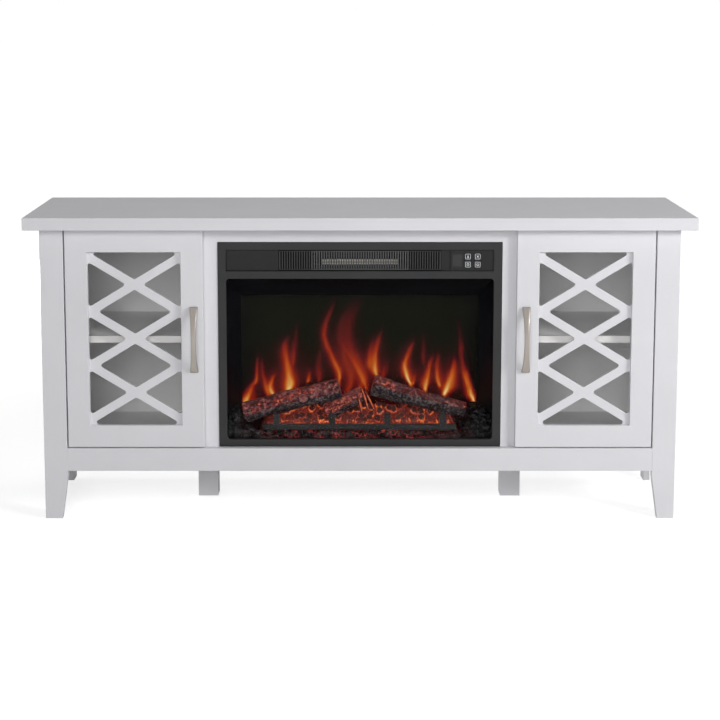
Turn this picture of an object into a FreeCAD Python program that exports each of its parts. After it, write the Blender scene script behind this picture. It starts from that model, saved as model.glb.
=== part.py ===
import FreeCAD, Part
import math
import os
import re
import Sketcher

# Fireplace TV stand: a white cabinet with two lattice doors round an electric fireplace insert.
# Millimetres, +Z up, front towards -Y, origin on the floor at the middle of the top panel's outline.
# Paired pieces are modelled on the right (+X) and mirrored to the left.

Vector = FreeCAD.Vector
Rotation = FreeCAD.Rotation

# Driving dimensions, in millimetres, degrees and counts.
SIZES = {
    # top panel and the body under it
    "top_w": 1473, "top_d": 394, "top_t": 27.5, "total_h": 684,
    "side_over": 31.5, "front_over": 32, "back_over": 12, "ease_r": 1.2,
    # boards
    "board_t": 15, "face_t": 18, "back_t": 4,
    # posts, apron, feet and middle legs
    "post_w": 51.5, "toe_w": 37.5, "taper_h": 97, "foot_h": 109.5, "apron_h": 52,
    "front_foot_d": 32, "rear_foot_d": 42, "arch_r": 10, "leg_w": 46, "leg_y": 36,
    # fireplace bay
    "insert_w": 629, "insert_gap": 0.75, "filler_w": 31, "header_h": 31.75,
    # doors and their lattice
    "door_gap": 3, "rest_gap": 2, "frame_w": 49.5, "recess": 9, "lattice_t": 5,
    "stile_wall": 1.5, "rabbet_gap": 0.4, "bar_w": 19, "node_inset": 12.5, "node_side": 2.7, "cell_r": 5,
    "cross_count": 3,
    # bow handles
    "pull_h": 148, "pull_out": 27, "pull_t": 5, "pull_pad": 3, "pull_foot": 14,
    "pull_end_w": 19.4, "pull_mid_w": 11, "pull_inset": 21,
    # concealed hinges
    "hinge_inset": 85, "cup_d": 35, "cup_depth": 12, "cup_in": 22.5, "cup_wall": 1, "cup_fit": 0.1,
    "cup_lip": 3, "flange_t": 1.2, "pin_d": 3, "pin_in": 17, "pin_deep": 7.5, "pin_fit": 0.05,
    "hub_d": 5.4, "arm_gap": 1.5, "arm_t": 3, "arm_h": 12, "spoke_t": 2.4, "spoke_angle": 28,
    "arm_end_angle": 150, "plate_w": 30, "plate_h": 44, "plate_t": 2.5, "plate_lip": 1,
    # door bumpers
    "bumper_d": 8, "bumper_inset": 40, "bumper_gap": 0.2,
    # shelves, their pins and the cable holes
    "shelf_set": 22, "shelf_up": 232.5, "shelf_gap": 1, "pin_edge": 40, "stud_d": 5, "stud_l": 8,
    "paddle_l": 9, "paddle_h": 6, "paddle_w": 12, "cable_d": 55, "cable_drop": 60,
    # insert front
    "bezel_t": 14, "bezel_proud": 3, "bezel_side": 18, "bezel_rail": 16.5, "win_r": 8, "strip_h": 48,
    "strip_set": 3.5, "strip_t": 5, "strip_lap": 3, "glass_t": 4, "glass_lap": 7, "glass_fit": 0.3,
    # insert case
    "case_inset": 8, "case_d": 181, "sheet_t": 1.2, "vent_w": 6, "vent_h": 60, "vent_pitch": 18,
    "vent_count": 13, "vent_up": 60, "gland_d": 16, "gland_lip": 4, "gland_l": 14, "gland_x": 240,
    "gland_up": 45, "cord_d": 8,
    # outlet grille and control panel
    "grille_w": 360, "slot_w": 3.2, "slat_pitch": 5.4, "slot_margin": 4, "outlet_w": 214,
    "slot_depth": 3.5, "panel_w": 77, "panel_lift": 1.5, "panel_set": 20, "panel_edge": 1.5,
    "display_w": 21, "display_h": 27, "display_x": 15.5, "display_deep": 0.8,
    "button_w": 14, "button_pitch_x": 21.5, "button_pitch_z": 18, "button_x": 49.5, "button_r": 2,
    "button_gap": 0.3, "button_lift": 1, "button_lip": 1.2, "button_travel": 1,
    "board_w": 96, "board_tall": 38, "pcb_t": 1.6, "standoff_d": 5, "standoff_x": 44, "pcb_gap": 4,
    # firebox
    "funnel_d": 100, "funnel_in": 28, "funnel_drop": 58, "funnel_t": 1.5, "funnel_lap": 4, "screen_t": 3,
    # coals, embers, grate and logs
    "coal_gap": 1, "coal_h": 14, "coal_front_h": 34, "coal_front_d": 12, "coal_side_h": 80,
    "coal_side_w": 34, "ember_half": 226, "ember_d": 58, "ember_front_h": 42, "ember_rear_h": 80,
    "grate_w": 436, "grate_h": 12, "grate_d": 8, "grate_up": 31, "tine_w": 14, "tine_h": 25,
    "tine_pitch": 125, "tine_count": 4,
    "log_y": 50, "left_log_x": -262, "left_log_up": 64, "left_log_l": 224, "left_log_r": 26,
    "left_log_tip_r": 24, "left_log_tilt": 14.5,
    "right_log_x": 240, "right_log_up": 69, "right_log_l": 218, "right_log_r": 19, "right_log_tip_r": 25,
    "right_log_tilt": 14.5,
    "mid_log_x": -72, "mid_log_up": 62, "mid_log_l": 92, "mid_log_r": 17, "mid_log_tip_r": 15.3,
    "mid_log_tilt": 30,
    # heater, blower and flicker drive
    "heater_w": 172, "heater_h": 12, "heater_d": 12, "heater_gap": 20, "heater_drop": 11.5, "hanger_w": 8,
    "blower_d": 40, "blower_l": 190, "blower_disc_t": 2, "blade_t": 1.2, "blade_w": 7, "blade_count": 20,
    "shaft_d": 6, "shaft_fit": 0.05, "journal_l": 10, "blower_back": 70, "blower_drop": 30,
    "bearing_t": 4, "bearing_w": 18, "side_play": 0.3, "motor_d": 36, "motor_l": 26, "motor_foot_w": 20,
    "rotor_l": 420, "rotor_d": 34, "vane_t": 0.8, "vane_count": 6, "rotor_back": 34, "rotor_up": 40,
    "led_w": 440, "led_d": 14, "led_h": 6, "led_gap": 8,
}

# Worked-out planes, heights and half widths that several pieces share.
LEVELS = {
    "body_half": "top_w / 2 - side_over",
    "face_y": "front_over - top_d / 2",
    "frame_y": "face_y + face_t",
    "rear_y": "top_d / 2 - back_over",
    "inner_rear_y": "rear_y - back_t",
    "under_top": "total_h - top_t",
    "floor_z": "foot_h + apron_h",
    "side_in": "body_half - board_t",
    "post_in": "body_half - post_w",
    "opening_half": "insert_w / 2 + insert_gap",
    "bay_half": "opening_half + filler_w",
    "divider_out": "bay_half + board_t",
    "divider_mid": "bay_half + board_t / 2",
    # doors
    "door_t": "face_t - rest_gap",
    "door_back": "face_y + door_t",
    "door_in": "bay_half",
    "door_out": "post_in - door_gap",
    "door_low": "floor_z + door_gap",
    "door_high": "under_top - door_gap",
    "door_mid_z": "(door_low + door_high) / 2",
    "rabbet_w": "frame_w - cup_in - cup_d / 2 - stile_wall",
    "pane_in": "door_in + frame_w",
    "pane_out": "door_out - frame_w",
    "pane_low": "door_low + frame_w",
    "pane_high": "door_high - frame_w",
    "pane_mid": "(pane_in + pane_out) / 2",
    "cross_h": "(pane_high - pane_low - 2 * node_inset) / cross_count",
    "cross_slope": "cross_h / (pane_out - pane_in - 2 * node_side)",
    "bar_rise": "bar_w / 2 * sqrt(1 + cross_slope ^ 2)",
    "bar_run": "bar_rise / cross_slope",
    "side_rise": "cross_h / 2 + node_side * cross_slope - bar_rise",
    "pull_x": "door_in + pull_inset",
    # hinges
    "pin_x": "door_out - pin_in",
    "pin_y": "door_back - pin_deep",
    "swing_r": "sqrt(pin_in ^ 2 + (pin_y - face_y) ^ 2)",
    "arm_in": "swing_r + arm_gap",
    "pin_half": "sqrt((cup_d / 2 - cup_wall / 4) ^ 2 - (cup_in - pin_in + pin_d / 2) ^ 2)",
    # shelves
    "shelf_z": "floor_z + shelf_up",
    # insert
    "insert_top": "under_top - header_h - insert_gap",
    "bezel_front": "frame_y - bezel_proud",
    "bezel_rear": "bezel_front + bezel_t",
    "strip_high": "insert_top - bezel_rail",
    "strip_low": "strip_high - strip_h",
    "strip_mid": "(strip_low + strip_high) / 2",
    "strip_front": "bezel_front + strip_set",
    "strip_rear": "strip_front + strip_t",
    "win_high": "strip_low - bezel_rail",
    "win_low": "floor_z + bezel_rail",
    "win_half": "insert_w / 2 - bezel_side",
    "case_half": "insert_w / 2 - case_inset",
    "case_rear": "bezel_rear + case_d",
    "case_top": "insert_top - case_inset",
    "deck_z": "floor_z + sheet_t",
    "ceiling_z": "case_top - sheet_t",
    "screen_y": "bezel_rear + funnel_d",
    "screen_half": "win_half - funnel_in",
    "screen_high": "win_high - funnel_drop",
    # control panel
    "panel_low_x": "grille_w / 2",
    "panel_x": "grille_w / 2 + panel_set",
    "panel_back": "strip_rear",
    "button_lip_y": "panel_back + button_gap",
    "pcb_y": "button_lip_y + button_lip + button_travel + pcb_gap",
    # bed
    "bed_front": "bezel_rear + coal_gap",
    "bed_top": "deck_z + coal_h",
    "ember_front": "bed_front + coal_front_d + grate_d + coal_gap",
    "ember_rear": "ember_front + ember_d",
    "grate_front": "bed_front + coal_front_d",
    "log_mid_y": "bezel_rear + log_y",
    # drives
    "blower_y": "bezel_rear + blower_back",
    "blower_z": "ceiling_z - blower_drop",
    "rotor_y": "screen_y + screen_t + rotor_back",
    "rotor_z": "deck_z + rotor_up",
    "led_y": "case_rear - led_gap - led_d",
    "heater_z": "strip_mid - heater_drop",
}

doc = FreeCAD.newDocument("FireplaceStand")
nodes = {}


def tie(text):
    """The expression with each size or level named through its sheet."""
    def place(match):
        word = match.group(0)
        if word in SIZES:
            return "Sizes." + word
        return "Levels." + word if word in LEVELS else word
    return re.sub(r"[a-z][a-z_0-9]*", place, text)


def fill_sheet(name, entries, formula):
    sheet = doc.addObject("Spreadsheet::Sheet", name)
    for row, (alias, entry) in enumerate(entries.items(), 1):
        sheet.set(f"A{row}", alias)
        sheet.set(f"B{row}", "=" + tie(entry) if formula else str(entry))
        sheet.setAlias(f"B{row}", alias)
    doc.recompute()
    return sheet


sizes = fill_sheet("Sizes", SIZES, formula=False)
levels = fill_sheet("Levels", LEVELS, formula=True)


def bind(thing, prop, text):
    thing.setExpression(prop, tie(text))


def keep(thing, label):
    """Registers a finished sub-part under its node name."""
    thing.Label = label
    nodes[label] = thing
    return thing


# Part primitives and booleans with their sizes bound to the sheets.
def box(name, x, y, z):
    solid = doc.addObject("Part::Box", name)
    for prop, axis, (low, high) in (("Length", "x", x), ("Width", "y", y), ("Height", "z", z)):
        bind(solid, prop, f"({high}) - ({low})")
        bind(solid, f"Placement.Base.{axis}", low)
    return solid


def rod(name, axis, radius, centre, span):
    """A cylinder along an axis: its centre gives the other two coordinates, in order."""
    turn = {"x": Rotation(Vector(0, 1, 0), 90), "y": Rotation(Vector(1, 0, 0), -90), "z": Rotation()}
    solid = doc.addObject("Part::Cylinder", name)
    solid.Placement = FreeCAD.Placement(Vector(), turn[axis])
    bind(solid, "Radius", radius)
    bind(solid, "Height", f"({span[1]}) - ({span[0]})")
    across = iter(centre)
    for each in "xyz":
        bind(solid, f"Placement.Base.{each}", span[0] if each == axis else next(across))
    return solid


def wedge(name, near, far, y):
    """A block whose ends at y[0] and y[1] are two different upright rectangles."""
    solid = doc.addObject("Part::Wedge", name)
    (x0, x1, z0, z1), (x2, x3, z2, z3) = near, far
    limits = {"Xmin": x0, "Xmax": x1, "Zmin": z0, "Zmax": z1, "Ymin": y[0], "Ymax": y[1],
              "X2min": x2, "X2max": x3, "Z2min": z2, "Z2max": z3}
    for prop, text in limits.items():
        bind(solid, prop, text)
    return solid


def fuse(name, *parts):
    joined = doc.addObject("Part::MultiFuse", name)
    joined.Shapes = list(parts)
    joined.Refine = True
    return joined


def group(name, *parts):
    together = doc.addObject("Part::Compound", name)
    together.Links = list(parts)
    return together


def cut(name, base, *tools):
    less = doc.addObject("Part::Cut", name)
    less.Base = base
    less.Tool = tools[0] if len(tools) == 1 else group(name + "_tools", *tools)
    return less


def common(name, first, second):
    shared = doc.addObject("Part::Common", name)
    shared.Base = first
    shared.Tool = second
    return shared


def mirror(name, source):
    other = doc.addObject("Part::Mirroring", name)
    other.Source = source
    other.Normal = Vector(1, 0, 0)
    return other


def keep_pair(right, name):
    """Keeps the right-hand piece and its mirror image as two nodes."""
    keep(right, "right_" + name)
    keep(mirror("left_" + name, right), "left_" + name)


# Bodies made from sketches.
PLANE_SIGN = {"XY": "", "XZ": "-", "YZ": ""}
PLACEHOLDER_R = 10


def origin_item(body, role):
    return next(item for item in body.Origin.OriginFeatures if item.Role == role)


def sketch(body, name, plane, offset, loops=(), circles=()):
    """A sketch of closed polygons and circles, on an origin plane moved to the given offset."""
    drawing = body.newObject("Sketcher::SketchObject", name)
    drawing.AttachmentSupport = [(origin_item(body, plane + "_Plane"), "")]
    drawing.MapMode = "FlatFace"
    bind(drawing, "AttachmentOffset.Base.z", f"{PLANE_SIGN[plane]}({offset})")

    def pin_point(item, spot, texts, start):
        for axis, text, at in zip("XY", texts, (start.x, start.y)):
            number = drawing.addConstraint(Sketcher.Constraint("Distance" + axis, -1, 1, item, spot, at))
            bind(drawing, f"Constraints[{number}]", text)

    for loop in loops:
        count = len(loop)
        first = drawing.GeometryCount
        turn = 2 * math.pi / count
        corners = [Vector(math.cos(k * turn), math.sin(k * turn), 0) * PLACEHOLDER_R for k in range(count)]
        lines = [Part.LineSegment(corners[k], corners[(k + 1) % count]) for k in range(count)]
        drawing.addGeometry(lines, False)
        for k in range(count):
            drawing.addConstraint(Sketcher.Constraint("Coincident", first + k, 2, first + (k + 1) % count, 1))
        for k, texts in enumerate(loop):
            pin_point(first + k, 1, texts, corners[k])
    for centre_x, centre_y, radius in circles:
        start = Vector(PLACEHOLDER_R, PLACEHOLDER_R, 0)
        item = drawing.addGeometry(Part.Circle(start, Vector(0, 0, 1), PLACEHOLDER_R), False)
        pin_point(item, 3, (centre_x, centre_y), start)
        number = drawing.addConstraint(Sketcher.Constraint("Radius", item, PLACEHOLDER_R))
        bind(drawing, f"Constraints[{number}]", radius)
    return drawing


def rect(low_x, high_x, low_y, high_y):
    return [(low_x, low_y), (high_x, low_y), (high_x, high_y), (low_x, high_y)]


def pad(body, name, drawing, length, backwards=False):
    feature = body.newObject("PartDesign::Pad", name)
    feature.Profile = drawing
    feature.Reversed = backwards
    bind(feature, "Length", length)
    return feature


def pocket(body, name, drawing, depth, backwards=True):
    feature = body.newObject("PartDesign::Pocket", name)
    feature.Profile = drawing
    feature.Reversed = backwards
    bind(feature, "Length", depth)
    return feature


def row(body, name, original, axis, length, count):
    """Repeats a feature along an origin axis."""
    pattern = body.newObject("PartDesign::LinearPattern", name)
    pattern.Originals = [original]
    pattern.Direction = (origin_item(body, axis + "_Axis"), [""])
    bind(pattern, "Length", length)
    bind(pattern, "Occurrences", count)
    body.Tip = pattern
    return pattern


def ring(body, name, original, count):
    """Repeats a feature round the body's own X axis."""
    pattern = body.newObject("PartDesign::PolarPattern", name)
    pattern.Originals = [original]
    pattern.Axis = (origin_item(body, "X_Axis"), [""])
    pattern.Angle = 360
    bind(pattern, "Occurrences", count)
    body.Tip = pattern
    return pattern


def round_edges(body, name, radius, wanted):
    """Fillets the edges of the body so far whose bounding boxes pass the test."""
    doc.recompute()
    base = body.Tip
    picked = [f"Edge{k}" for k, edge in enumerate(base.Shape.Edges, 1) if wanted(edge.BoundBox)]
    feature = body.newObject("PartDesign::Fillet", name)
    feature.Base = (base, picked)
    bind(feature, "Radius", radius)
    return feature


SAME_PLACE = 1e-4


def near(a, b):
    return abs(a - b) < SAME_PLACE


def on_plane(axis, at):
    """A test for edges that lie in the plane where the axis has the given value."""
    return lambda b: near(getattr(b, axis + "Min"), at) and near(getattr(b, axis + "Max"), at)


def along_y(b):
    return near(b.XLength, 0) and near(b.ZLength, 0)


def new_body(name):
    return doc.addObject("PartDesign::Body", name)


# Cabinet
def make_top_panel():
    body = new_body("top_panel")
    outline = sketch(body, "top_outline", "XY", "under_top",
                     [rect("-top_w / 2", "top_w / 2", "-top_d / 2", "top_d / 2")])
    pad(body, "top_slab", outline, "top_t")
    round_edges(body, "top_ease", "ease_r", lambda b: near(b.ZLength, 0))
    keep(body, "top_panel")


def pin_columns():
    """The two depths at which shelf pins stand."""
    return {"front": "frame_y + shelf_set + pin_edge", "rear": "inner_rear_y - pin_edge"}


def stud(name, low, high, y):
    return rod(name, "x", "stud_d / 2", (y, "shelf_z - paddle_h / 2"), (low, high))


def make_side_panels():
    body = new_body("side_board")
    arch_front, arch_rear = "frame_y + front_foot_d", "rear_y - rear_foot_d"
    outline = [("frame_y", "0"), (arch_front, "0"), (arch_front, "foot_h"), (arch_rear, "foot_h"),
               (arch_rear, "0"), ("rear_y", "0"), ("rear_y", "under_top"), ("frame_y", "under_top")]
    pad(body, "side_slab", sketch(body, "side_outline", "YZ", "side_in", [outline]), "board_t")
    arch_top = sizes.foot_h
    round_edges(body, "arch_corners", "arch_r",
                lambda b: near(b.YLength, 0) and near(b.ZMin, arch_top) and near(b.ZMax, arch_top))
    holes = [stud(f"side_hole_{spot}", "side_in", "side_in + stud_l", y)
             for spot, y in pin_columns().items()]
    keep_pair(cut("side_panel", body, *holes), "side_panel")


def make_dividers():
    blank = box("divider_board", ("bay_half", "divider_out"), ("frame_y", "inner_rear_y"),
                ("floor_z", "under_top"))
    holes = [stud(f"divider_hole_{spot}", "divider_out - stud_l", "divider_out", y)
             for spot, y in pin_columns().items()]
    keep_pair(cut("divider", blank, *holes), "divider")


def make_bottom_panel():
    keep(box("bottom_panel", ("-side_in", "side_in"), ("frame_y", "inner_rear_y"),
             ("floor_z - board_t", "floor_z")), "bottom_panel")


def make_front_posts():
    body = new_body("post_board")
    outline = [("post_in", "taper_h"), ("body_half - toe_w", "0"), ("body_half", "0"),
               ("body_half", "under_top"), ("post_in", "under_top")]
    pad(body, "post_slab", sketch(body, "post_outline", "XZ", "frame_y", [outline]), "face_t")
    round_edges(body, "post_ease", "ease_r", on_plane("Y", levels.face_y))
    keep_pair(body, "front_post")


def make_apron():
    body = new_body("apron_board")
    outline = sketch(body, "apron_outline", "XZ", "frame_y",
                     [rect("-post_in", "post_in", "foot_h", "floor_z")])
    pad(body, "apron_slab", outline, "face_t")
    face_y = levels.face_y
    round_edges(body, "apron_ease", "ease_r", lambda b: on_plane("Y", face_y)(b) and near(b.ZLength, 0))
    keep(body, "front_apron")


def make_bay_trim():
    depth = ("frame_y", "frame_y + board_t")
    keep(box("header_rail", ("-opening_half", "opening_half"), depth,
             ("under_top - header_h", "under_top")), "header_rail")
    keep_pair(box("filler_strip", ("opening_half", "bay_half"), depth, ("floor_z", "under_top")),
              "filler_strip")


def make_back_panels():
    sheet = box("back_sheet", ("divider_mid", "side_in"), ("inner_rear_y", "rear_y"),
                ("floor_z - board_t", "under_top"))
    hole = rod("cable_hole", "y", "cable_d / 2", ("(divider_out + side_in) / 2", "under_top - cable_drop"),
               ("inner_rear_y", "rear_y"))
    keep_pair(cut("back_panel", sheet, hole), "back_panel")


def make_middle_legs():
    keep_pair(box("middle_leg", ("divider_mid - leg_w / 2", "divider_mid + leg_w / 2"),
                  ("leg_y - leg_w / 2", "leg_y + leg_w / 2"), ("0", "floor_z - board_t")), "middle_leg")


def make_shelves():
    keep_pair(box("shelf", ("divider_out + shelf_gap", "side_in - shelf_gap"),
                  ("frame_y + shelf_set", "inner_rear_y - shelf_gap"),
                  ("shelf_z", "shelf_z + board_t")), "shelf")


def make_shelf_pins():
    pins = []
    outer = ("outer", ("side_in", "side_in + stud_l"), ("side_in - paddle_l", "side_in"))
    inner = ("inner", ("divider_out - stud_l", "divider_out"), ("divider_out", "divider_out + paddle_l"))
    for spot, y in pin_columns().items():
        for side, shank, tongue in (outer, inner):
            name = f"{side}_{spot}"
            paddle = box(f"paddle_{name}", tongue, (f"{y} - paddle_w / 2", f"{y} + paddle_w / 2"),
                         ("shelf_z - paddle_h", "shelf_z"))
            pins.append(fuse(f"shelf_pin_{name}", stud(f"stud_{name}", *shank, y), paddle))
    right = group("right_shelf_pins", *pins)
    keep(group("shelf_pins", right, mirror("left_shelf_pins", right)), "shelf_pins")


def make_door_bumpers():
    front = "frame_y - rest_gap + bumper_gap"
    dots = [rod(f"bumper_{spot}", "y", "bumper_d / 2", ("divider_mid", z), (front, "frame_y"))
            for spot, z in (("low", "door_low + bumper_inset"), ("high", "door_high - bumper_inset"))]
    right = group("right_bumpers", *dots)
    keep(group("door_bumpers", right, mirror("left_bumpers", right)), "door_bumpers")


# Doors
HINGE_HEIGHTS = {"low": "door_low + hinge_inset", "high": "door_high - hinge_inset"}


def make_door_frames():
    body = new_body("door_board")
    pad(body, "door_slab", sketch(body, "door_outline", "XZ", "door_back",
                                  [rect("door_in", "door_out", "door_low", "door_high")]), "door_t")
    pane = sketch(body, "pane_outline", "XZ", "door_back",
                  [rect("pane_in", "pane_out", "pane_low", "pane_high")])
    pocket(body, "pane_opening", pane, "door_t")
    rabbet = sketch(body, "rabbet_outline", "XZ", "door_back",
                    [rect("pane_in - rabbet_w", "pane_out + rabbet_w",
                          "pane_low - rabbet_w", "pane_high + rabbet_w")])
    pocket(body, "lattice_rabbet", rabbet, "door_t - recess")
    bores = [("door_out - cup_in", z, "cup_d / 2") for z in HINGE_HEIGHTS.values()]
    pocket(body, "cup_bores", sketch(body, "cup_circles", "XZ", "door_back", circles=bores), "cup_depth")
    round_edges(body, "door_ease", "ease_r", on_plane("Y", levels.face_y))
    keep_pair(body, "door_frame")


def lattice_cells():
    """The openings between crosses of bars stacked in the pane."""
    cells = []
    count = int(sizes.cross_count)
    for step in range(count):
        z = f"pane_low + node_inset + {step + 0.5} * cross_h"
        low, high = f"{z} - side_rise", f"{z} + side_rise"
        cells.append([("pane_in", low), ("pane_mid - bar_run", z), ("pane_in", high)])
        cells.append([("pane_out", low), ("pane_out", high), ("pane_mid + bar_run", z)])
    inset = "(node_side + bar_run)"
    for step in range(1, count):
        z = f"pane_low + node_inset + {step} * cross_h"
        cells.append([("pane_mid", f"{z} - cross_h / 2 + bar_rise"), (f"pane_out - {inset}", z),
                      ("pane_mid", f"{z} + cross_h / 2 - bar_rise"), (f"pane_in + {inset}", z)])
    reach = "(cross_h / 2 + node_inset - bar_rise) / cross_slope"
    for edge, sign in (("pane_high", "-"), ("pane_low", "+")):
        apex = f"{edge} {sign} (node_inset + cross_h / 2 - bar_rise)"
        cells.append([("pane_mid", apex), (f"pane_mid + {reach}", edge), (f"pane_mid - {reach}", edge)])
    return cells


def make_lattices():
    body = new_body("lattice_board")
    margin = "(rabbet_w - rabbet_gap)"
    back = "face_y + recess + lattice_t"
    sheet = sketch(body, "lattice_outline", "XZ", back,
                   [rect(f"pane_in - {margin}", f"pane_out + {margin}", f"pane_low - {margin}",
                         f"pane_high + {margin}")])
    pad(body, "lattice_sheet", sheet, "lattice_t")
    pocket(body, "lattice_openings", sketch(body, "lattice_cells", "XZ", back, lattice_cells()), "lattice_t")
    doc.recompute()
    edge_x = body.Shape.BoundBox.XMin, body.Shape.BoundBox.XMax
    round_edges(body, "cell_corners", "cell_r",
                lambda b: along_y(b) and not any(near(b.XMin, x) for x in edge_x))
    keep_pair(body, "door_lattice")


def arc_radius(half_chord, rise):
    return f"(({half_chord}) ^ 2 + ({rise}) ^ 2) / (2 * ({rise}))"


def make_handles():
    """A bow pull: a slab trimmed by arcs to its bowed front, hollow back and waisted sides."""
    half = "pull_h / 2"
    wide = ("pull_x - pull_end_w / 2", "pull_x + pull_end_w / 2")
    slab = box("pull_slab", wide, ("face_y - pull_out", "face_y"),
               (f"door_mid_z - {half}", f"door_mid_z + {half}"))
    bow_r = arc_radius(half, "pull_out - pull_pad")
    bow = rod("pull_bow", "x", bow_r, (f"face_y - pull_out + {bow_r}", "door_mid_z"), wide)
    hollow_r = arc_radius("pull_h / 2 - pull_foot", "pull_out - pull_t")
    hollow = rod("pull_hollow", "x", hollow_r,
                 (f"face_y - pull_out + pull_t + {hollow_r}", "door_mid_z"), wide)
    waist_r = arc_radius(half, "(pull_end_w - pull_mid_w) / 2")
    waists = [rod(f"pull_waist_{side}", "y", waist_r,
                  (f"pull_x {sign} (pull_mid_w / 2 + {waist_r})", "door_mid_z"),
                  ("face_y - pull_out", "face_y")) for side, sign in (("inner", "-"), ("outer", "+"))]
    keep_pair(cut("door_handle", common("pull_blank", slab, bow), hollow, *waists), "door_handle")


def make_hinge_cups():
    cups = []
    for spot, z in HINGE_HEIGHTS.items():
        centre = ("door_out - cup_in", z)
        shell = rod(f"cup_shell_{spot}", "y", "cup_d / 2 - cup_fit", centre,
                    ("door_back - cup_depth", "door_back"))
        flange = rod(f"cup_flange_{spot}", "y", "cup_d / 2 + cup_lip", centre,
                     ("door_back", "door_back + flange_t"))
        hollow = rod(f"cup_hollow_{spot}", "y", "cup_d / 2 - cup_wall", centre,
                     ("door_back - cup_depth + cup_wall", "door_back + flange_t"))
        cups.append(cut(f"hinge_cup_{spot}", fuse(f"cup_blank_{spot}", shell, flange), hollow,
                        hinge_pin(f"cup_pin_hole_{spot}", z)))
    keep_pair(group("hinge_cups", *cups), "hinge_cups")


def hinge_pin(name, z):
    return rod(name, "z", "pin_d / 2", ("pin_x", "pin_y"), (f"{z} - pin_half", f"{z} + pin_half"))


def make_hinge_pins():
    keep_pair(group("hinge_pins", *[hinge_pin(f"hinge_pin_{spot}", z) for spot, z in HINGE_HEIGHTS.items()]),
              "hinge_pins")


def make_hinge_arms():
    """Gooseneck arms: a plate behind the post, an arc round the swinging door edge, a spoke to the pin."""
    arms = []
    for spot, z in HINGE_HEIGHTS.items():
        tall = (f"{z} - arm_h / 2", f"{z} + arm_h / 2")
        axis = ("pin_x", "pin_y")
        plate = box(f"arm_plate_{spot}", ("door_out + plate_lip", "post_in + plate_w"),
                    ("frame_y", "frame_y + plate_t"), (f"{z} - plate_h / 2", f"{z} + plate_h / 2"))
        sector = rod(f"arm_sector_{spot}", "z", "arm_in + arm_t", axis, tall)
        sector.Placement.Rotation = Rotation(Vector(0, 0, 1), 1)
        bind(sector, "Placement.Rotation.Angle", "180 - arm_end_angle")
        bind(sector, "Angle", "arm_end_angle - spoke_angle")
        neck = cut(f"arm_neck_{spot}", sector, rod(f"arm_inside_{spot}", "z", "arm_in", axis, tall))
        spoke = box(f"arm_spoke_{spot}", ("0", "arm_in + arm_t"), ("0", "spoke_t"), tall)
        spoke.Placement.Rotation = Rotation(Vector(0, 0, 1), 1)
        bind(spoke, "Placement.Rotation.Angle", "180 - spoke_angle")
        bind(spoke, "Placement.Base.x", "pin_x + spoke_t / 2 * sin(spoke_angle)")
        bind(spoke, "Placement.Base.y", "pin_y + spoke_t / 2 * cos(spoke_angle)")
        hub = rod(f"arm_hub_{spot}", "z", "hub_d / 2", axis, tall)
        arms.append(cut(f"hinge_arm_{spot}", fuse(f"arm_blank_{spot}", plate, neck, spoke, hub),
                        rod(f"arm_bore_{spot}", "z", "pin_d / 2 + pin_fit", axis, tall)))
    keep_pair(group("hinge_arms", *arms), "hinge_arms")


# Insert front
def make_bezel():
    body = new_body("insert_bezel")
    outline = sketch(body, "bezel_outline", "XZ", "bezel_rear",
                     [rect("-insert_w / 2", "insert_w / 2", "floor_z", "insert_top")])
    pad(body, "bezel_slab", outline, "bezel_t")
    window = sketch(body, "window_outline", "XZ", "bezel_rear",
                    [rect("-win_half", "win_half", "win_low", "win_high")])
    pocket(body, "window_opening", window, "bezel_t")
    round_edges(body, "window_corners", "win_r",
                lambda b: along_y(b) and abs(b.XMin) < levels.case_half)
    lap = "(glass_lap + glass_fit)"
    seat = sketch(body, "glass_seat_outline", "XZ", "bezel_rear",
                  [rect(f"-win_half - {lap}", f"win_half + {lap}", f"win_low - {lap}", f"win_high + {lap}")])
    pocket(body, "glass_seat", seat, "glass_t")
    strip = sketch(body, "strip_outline", "XZ", "strip_rear",
                   [rect("-win_half", "win_half", "strip_low", "strip_high")])
    pocket(body, "strip_opening", strip, "strip_t + strip_set")
    vent = sketch(body, "outlet_outline", "XZ", "bezel_rear",
                  [rect("-win_half + strip_lap", "win_half - strip_lap", "strip_low + strip_lap",
                        "strip_high - strip_lap")])
    pocket(body, "outlet_opening", vent, "bezel_t")
    front = levels.bezel_front
    outer = sizes.insert_w / 2
    round_edges(body, "bezel_ease", "ease_r",
                lambda b: on_plane("Y", front)(b) and (near(b.XMax, outer) or near(b.XMin, -outer)))
    keep(body, "insert_bezel")


def make_window_glass():
    keep(box("window_glass", ("-win_half - glass_lap", "win_half + glass_lap"),
             ("bezel_rear - glass_t", "bezel_rear"), ("win_low - glass_lap", "win_high + glass_lap")),
         "window_glass")


def make_grille():
    """Upright slats across the outlet: grooves all along, open at the back in the middle."""
    body = new_body("heater_grille")
    outline = sketch(body, "grille_outline", "XZ", "strip_rear",
                     [rect("-grille_w / 2", "grille_w / 2", "strip_low", "strip_high")])
    pad(body, "grille_slab", outline, "strip_t")
    first = "-grille_w / 2 + slot_margin"
    slot = sketch(body, "slot_outline", "XZ", "strip_front + slot_depth",
                  [rect(first, f"{first} + slot_w", "strip_low + slot_margin", "strip_high - slot_margin")])
    groove = pocket(body, "first_slot", slot, "slot_depth")
    room = "(grille_w - 2 * slot_margin - slot_w)"
    count = f"floor({room} / slat_pitch) + 1"
    row(body, "slot_row", groove, "X", room, count)
    mouth = sketch(body, "mouth_outline", "XZ", "strip_rear",
                   [rect("-outlet_w / 2", "outlet_w / 2",
                         "strip_low + slot_margin", "strip_high - slot_margin")])
    pocket(body, "outlet_mouth", mouth, "strip_t - slot_depth")
    keep(body, "heater_grille")


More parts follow.
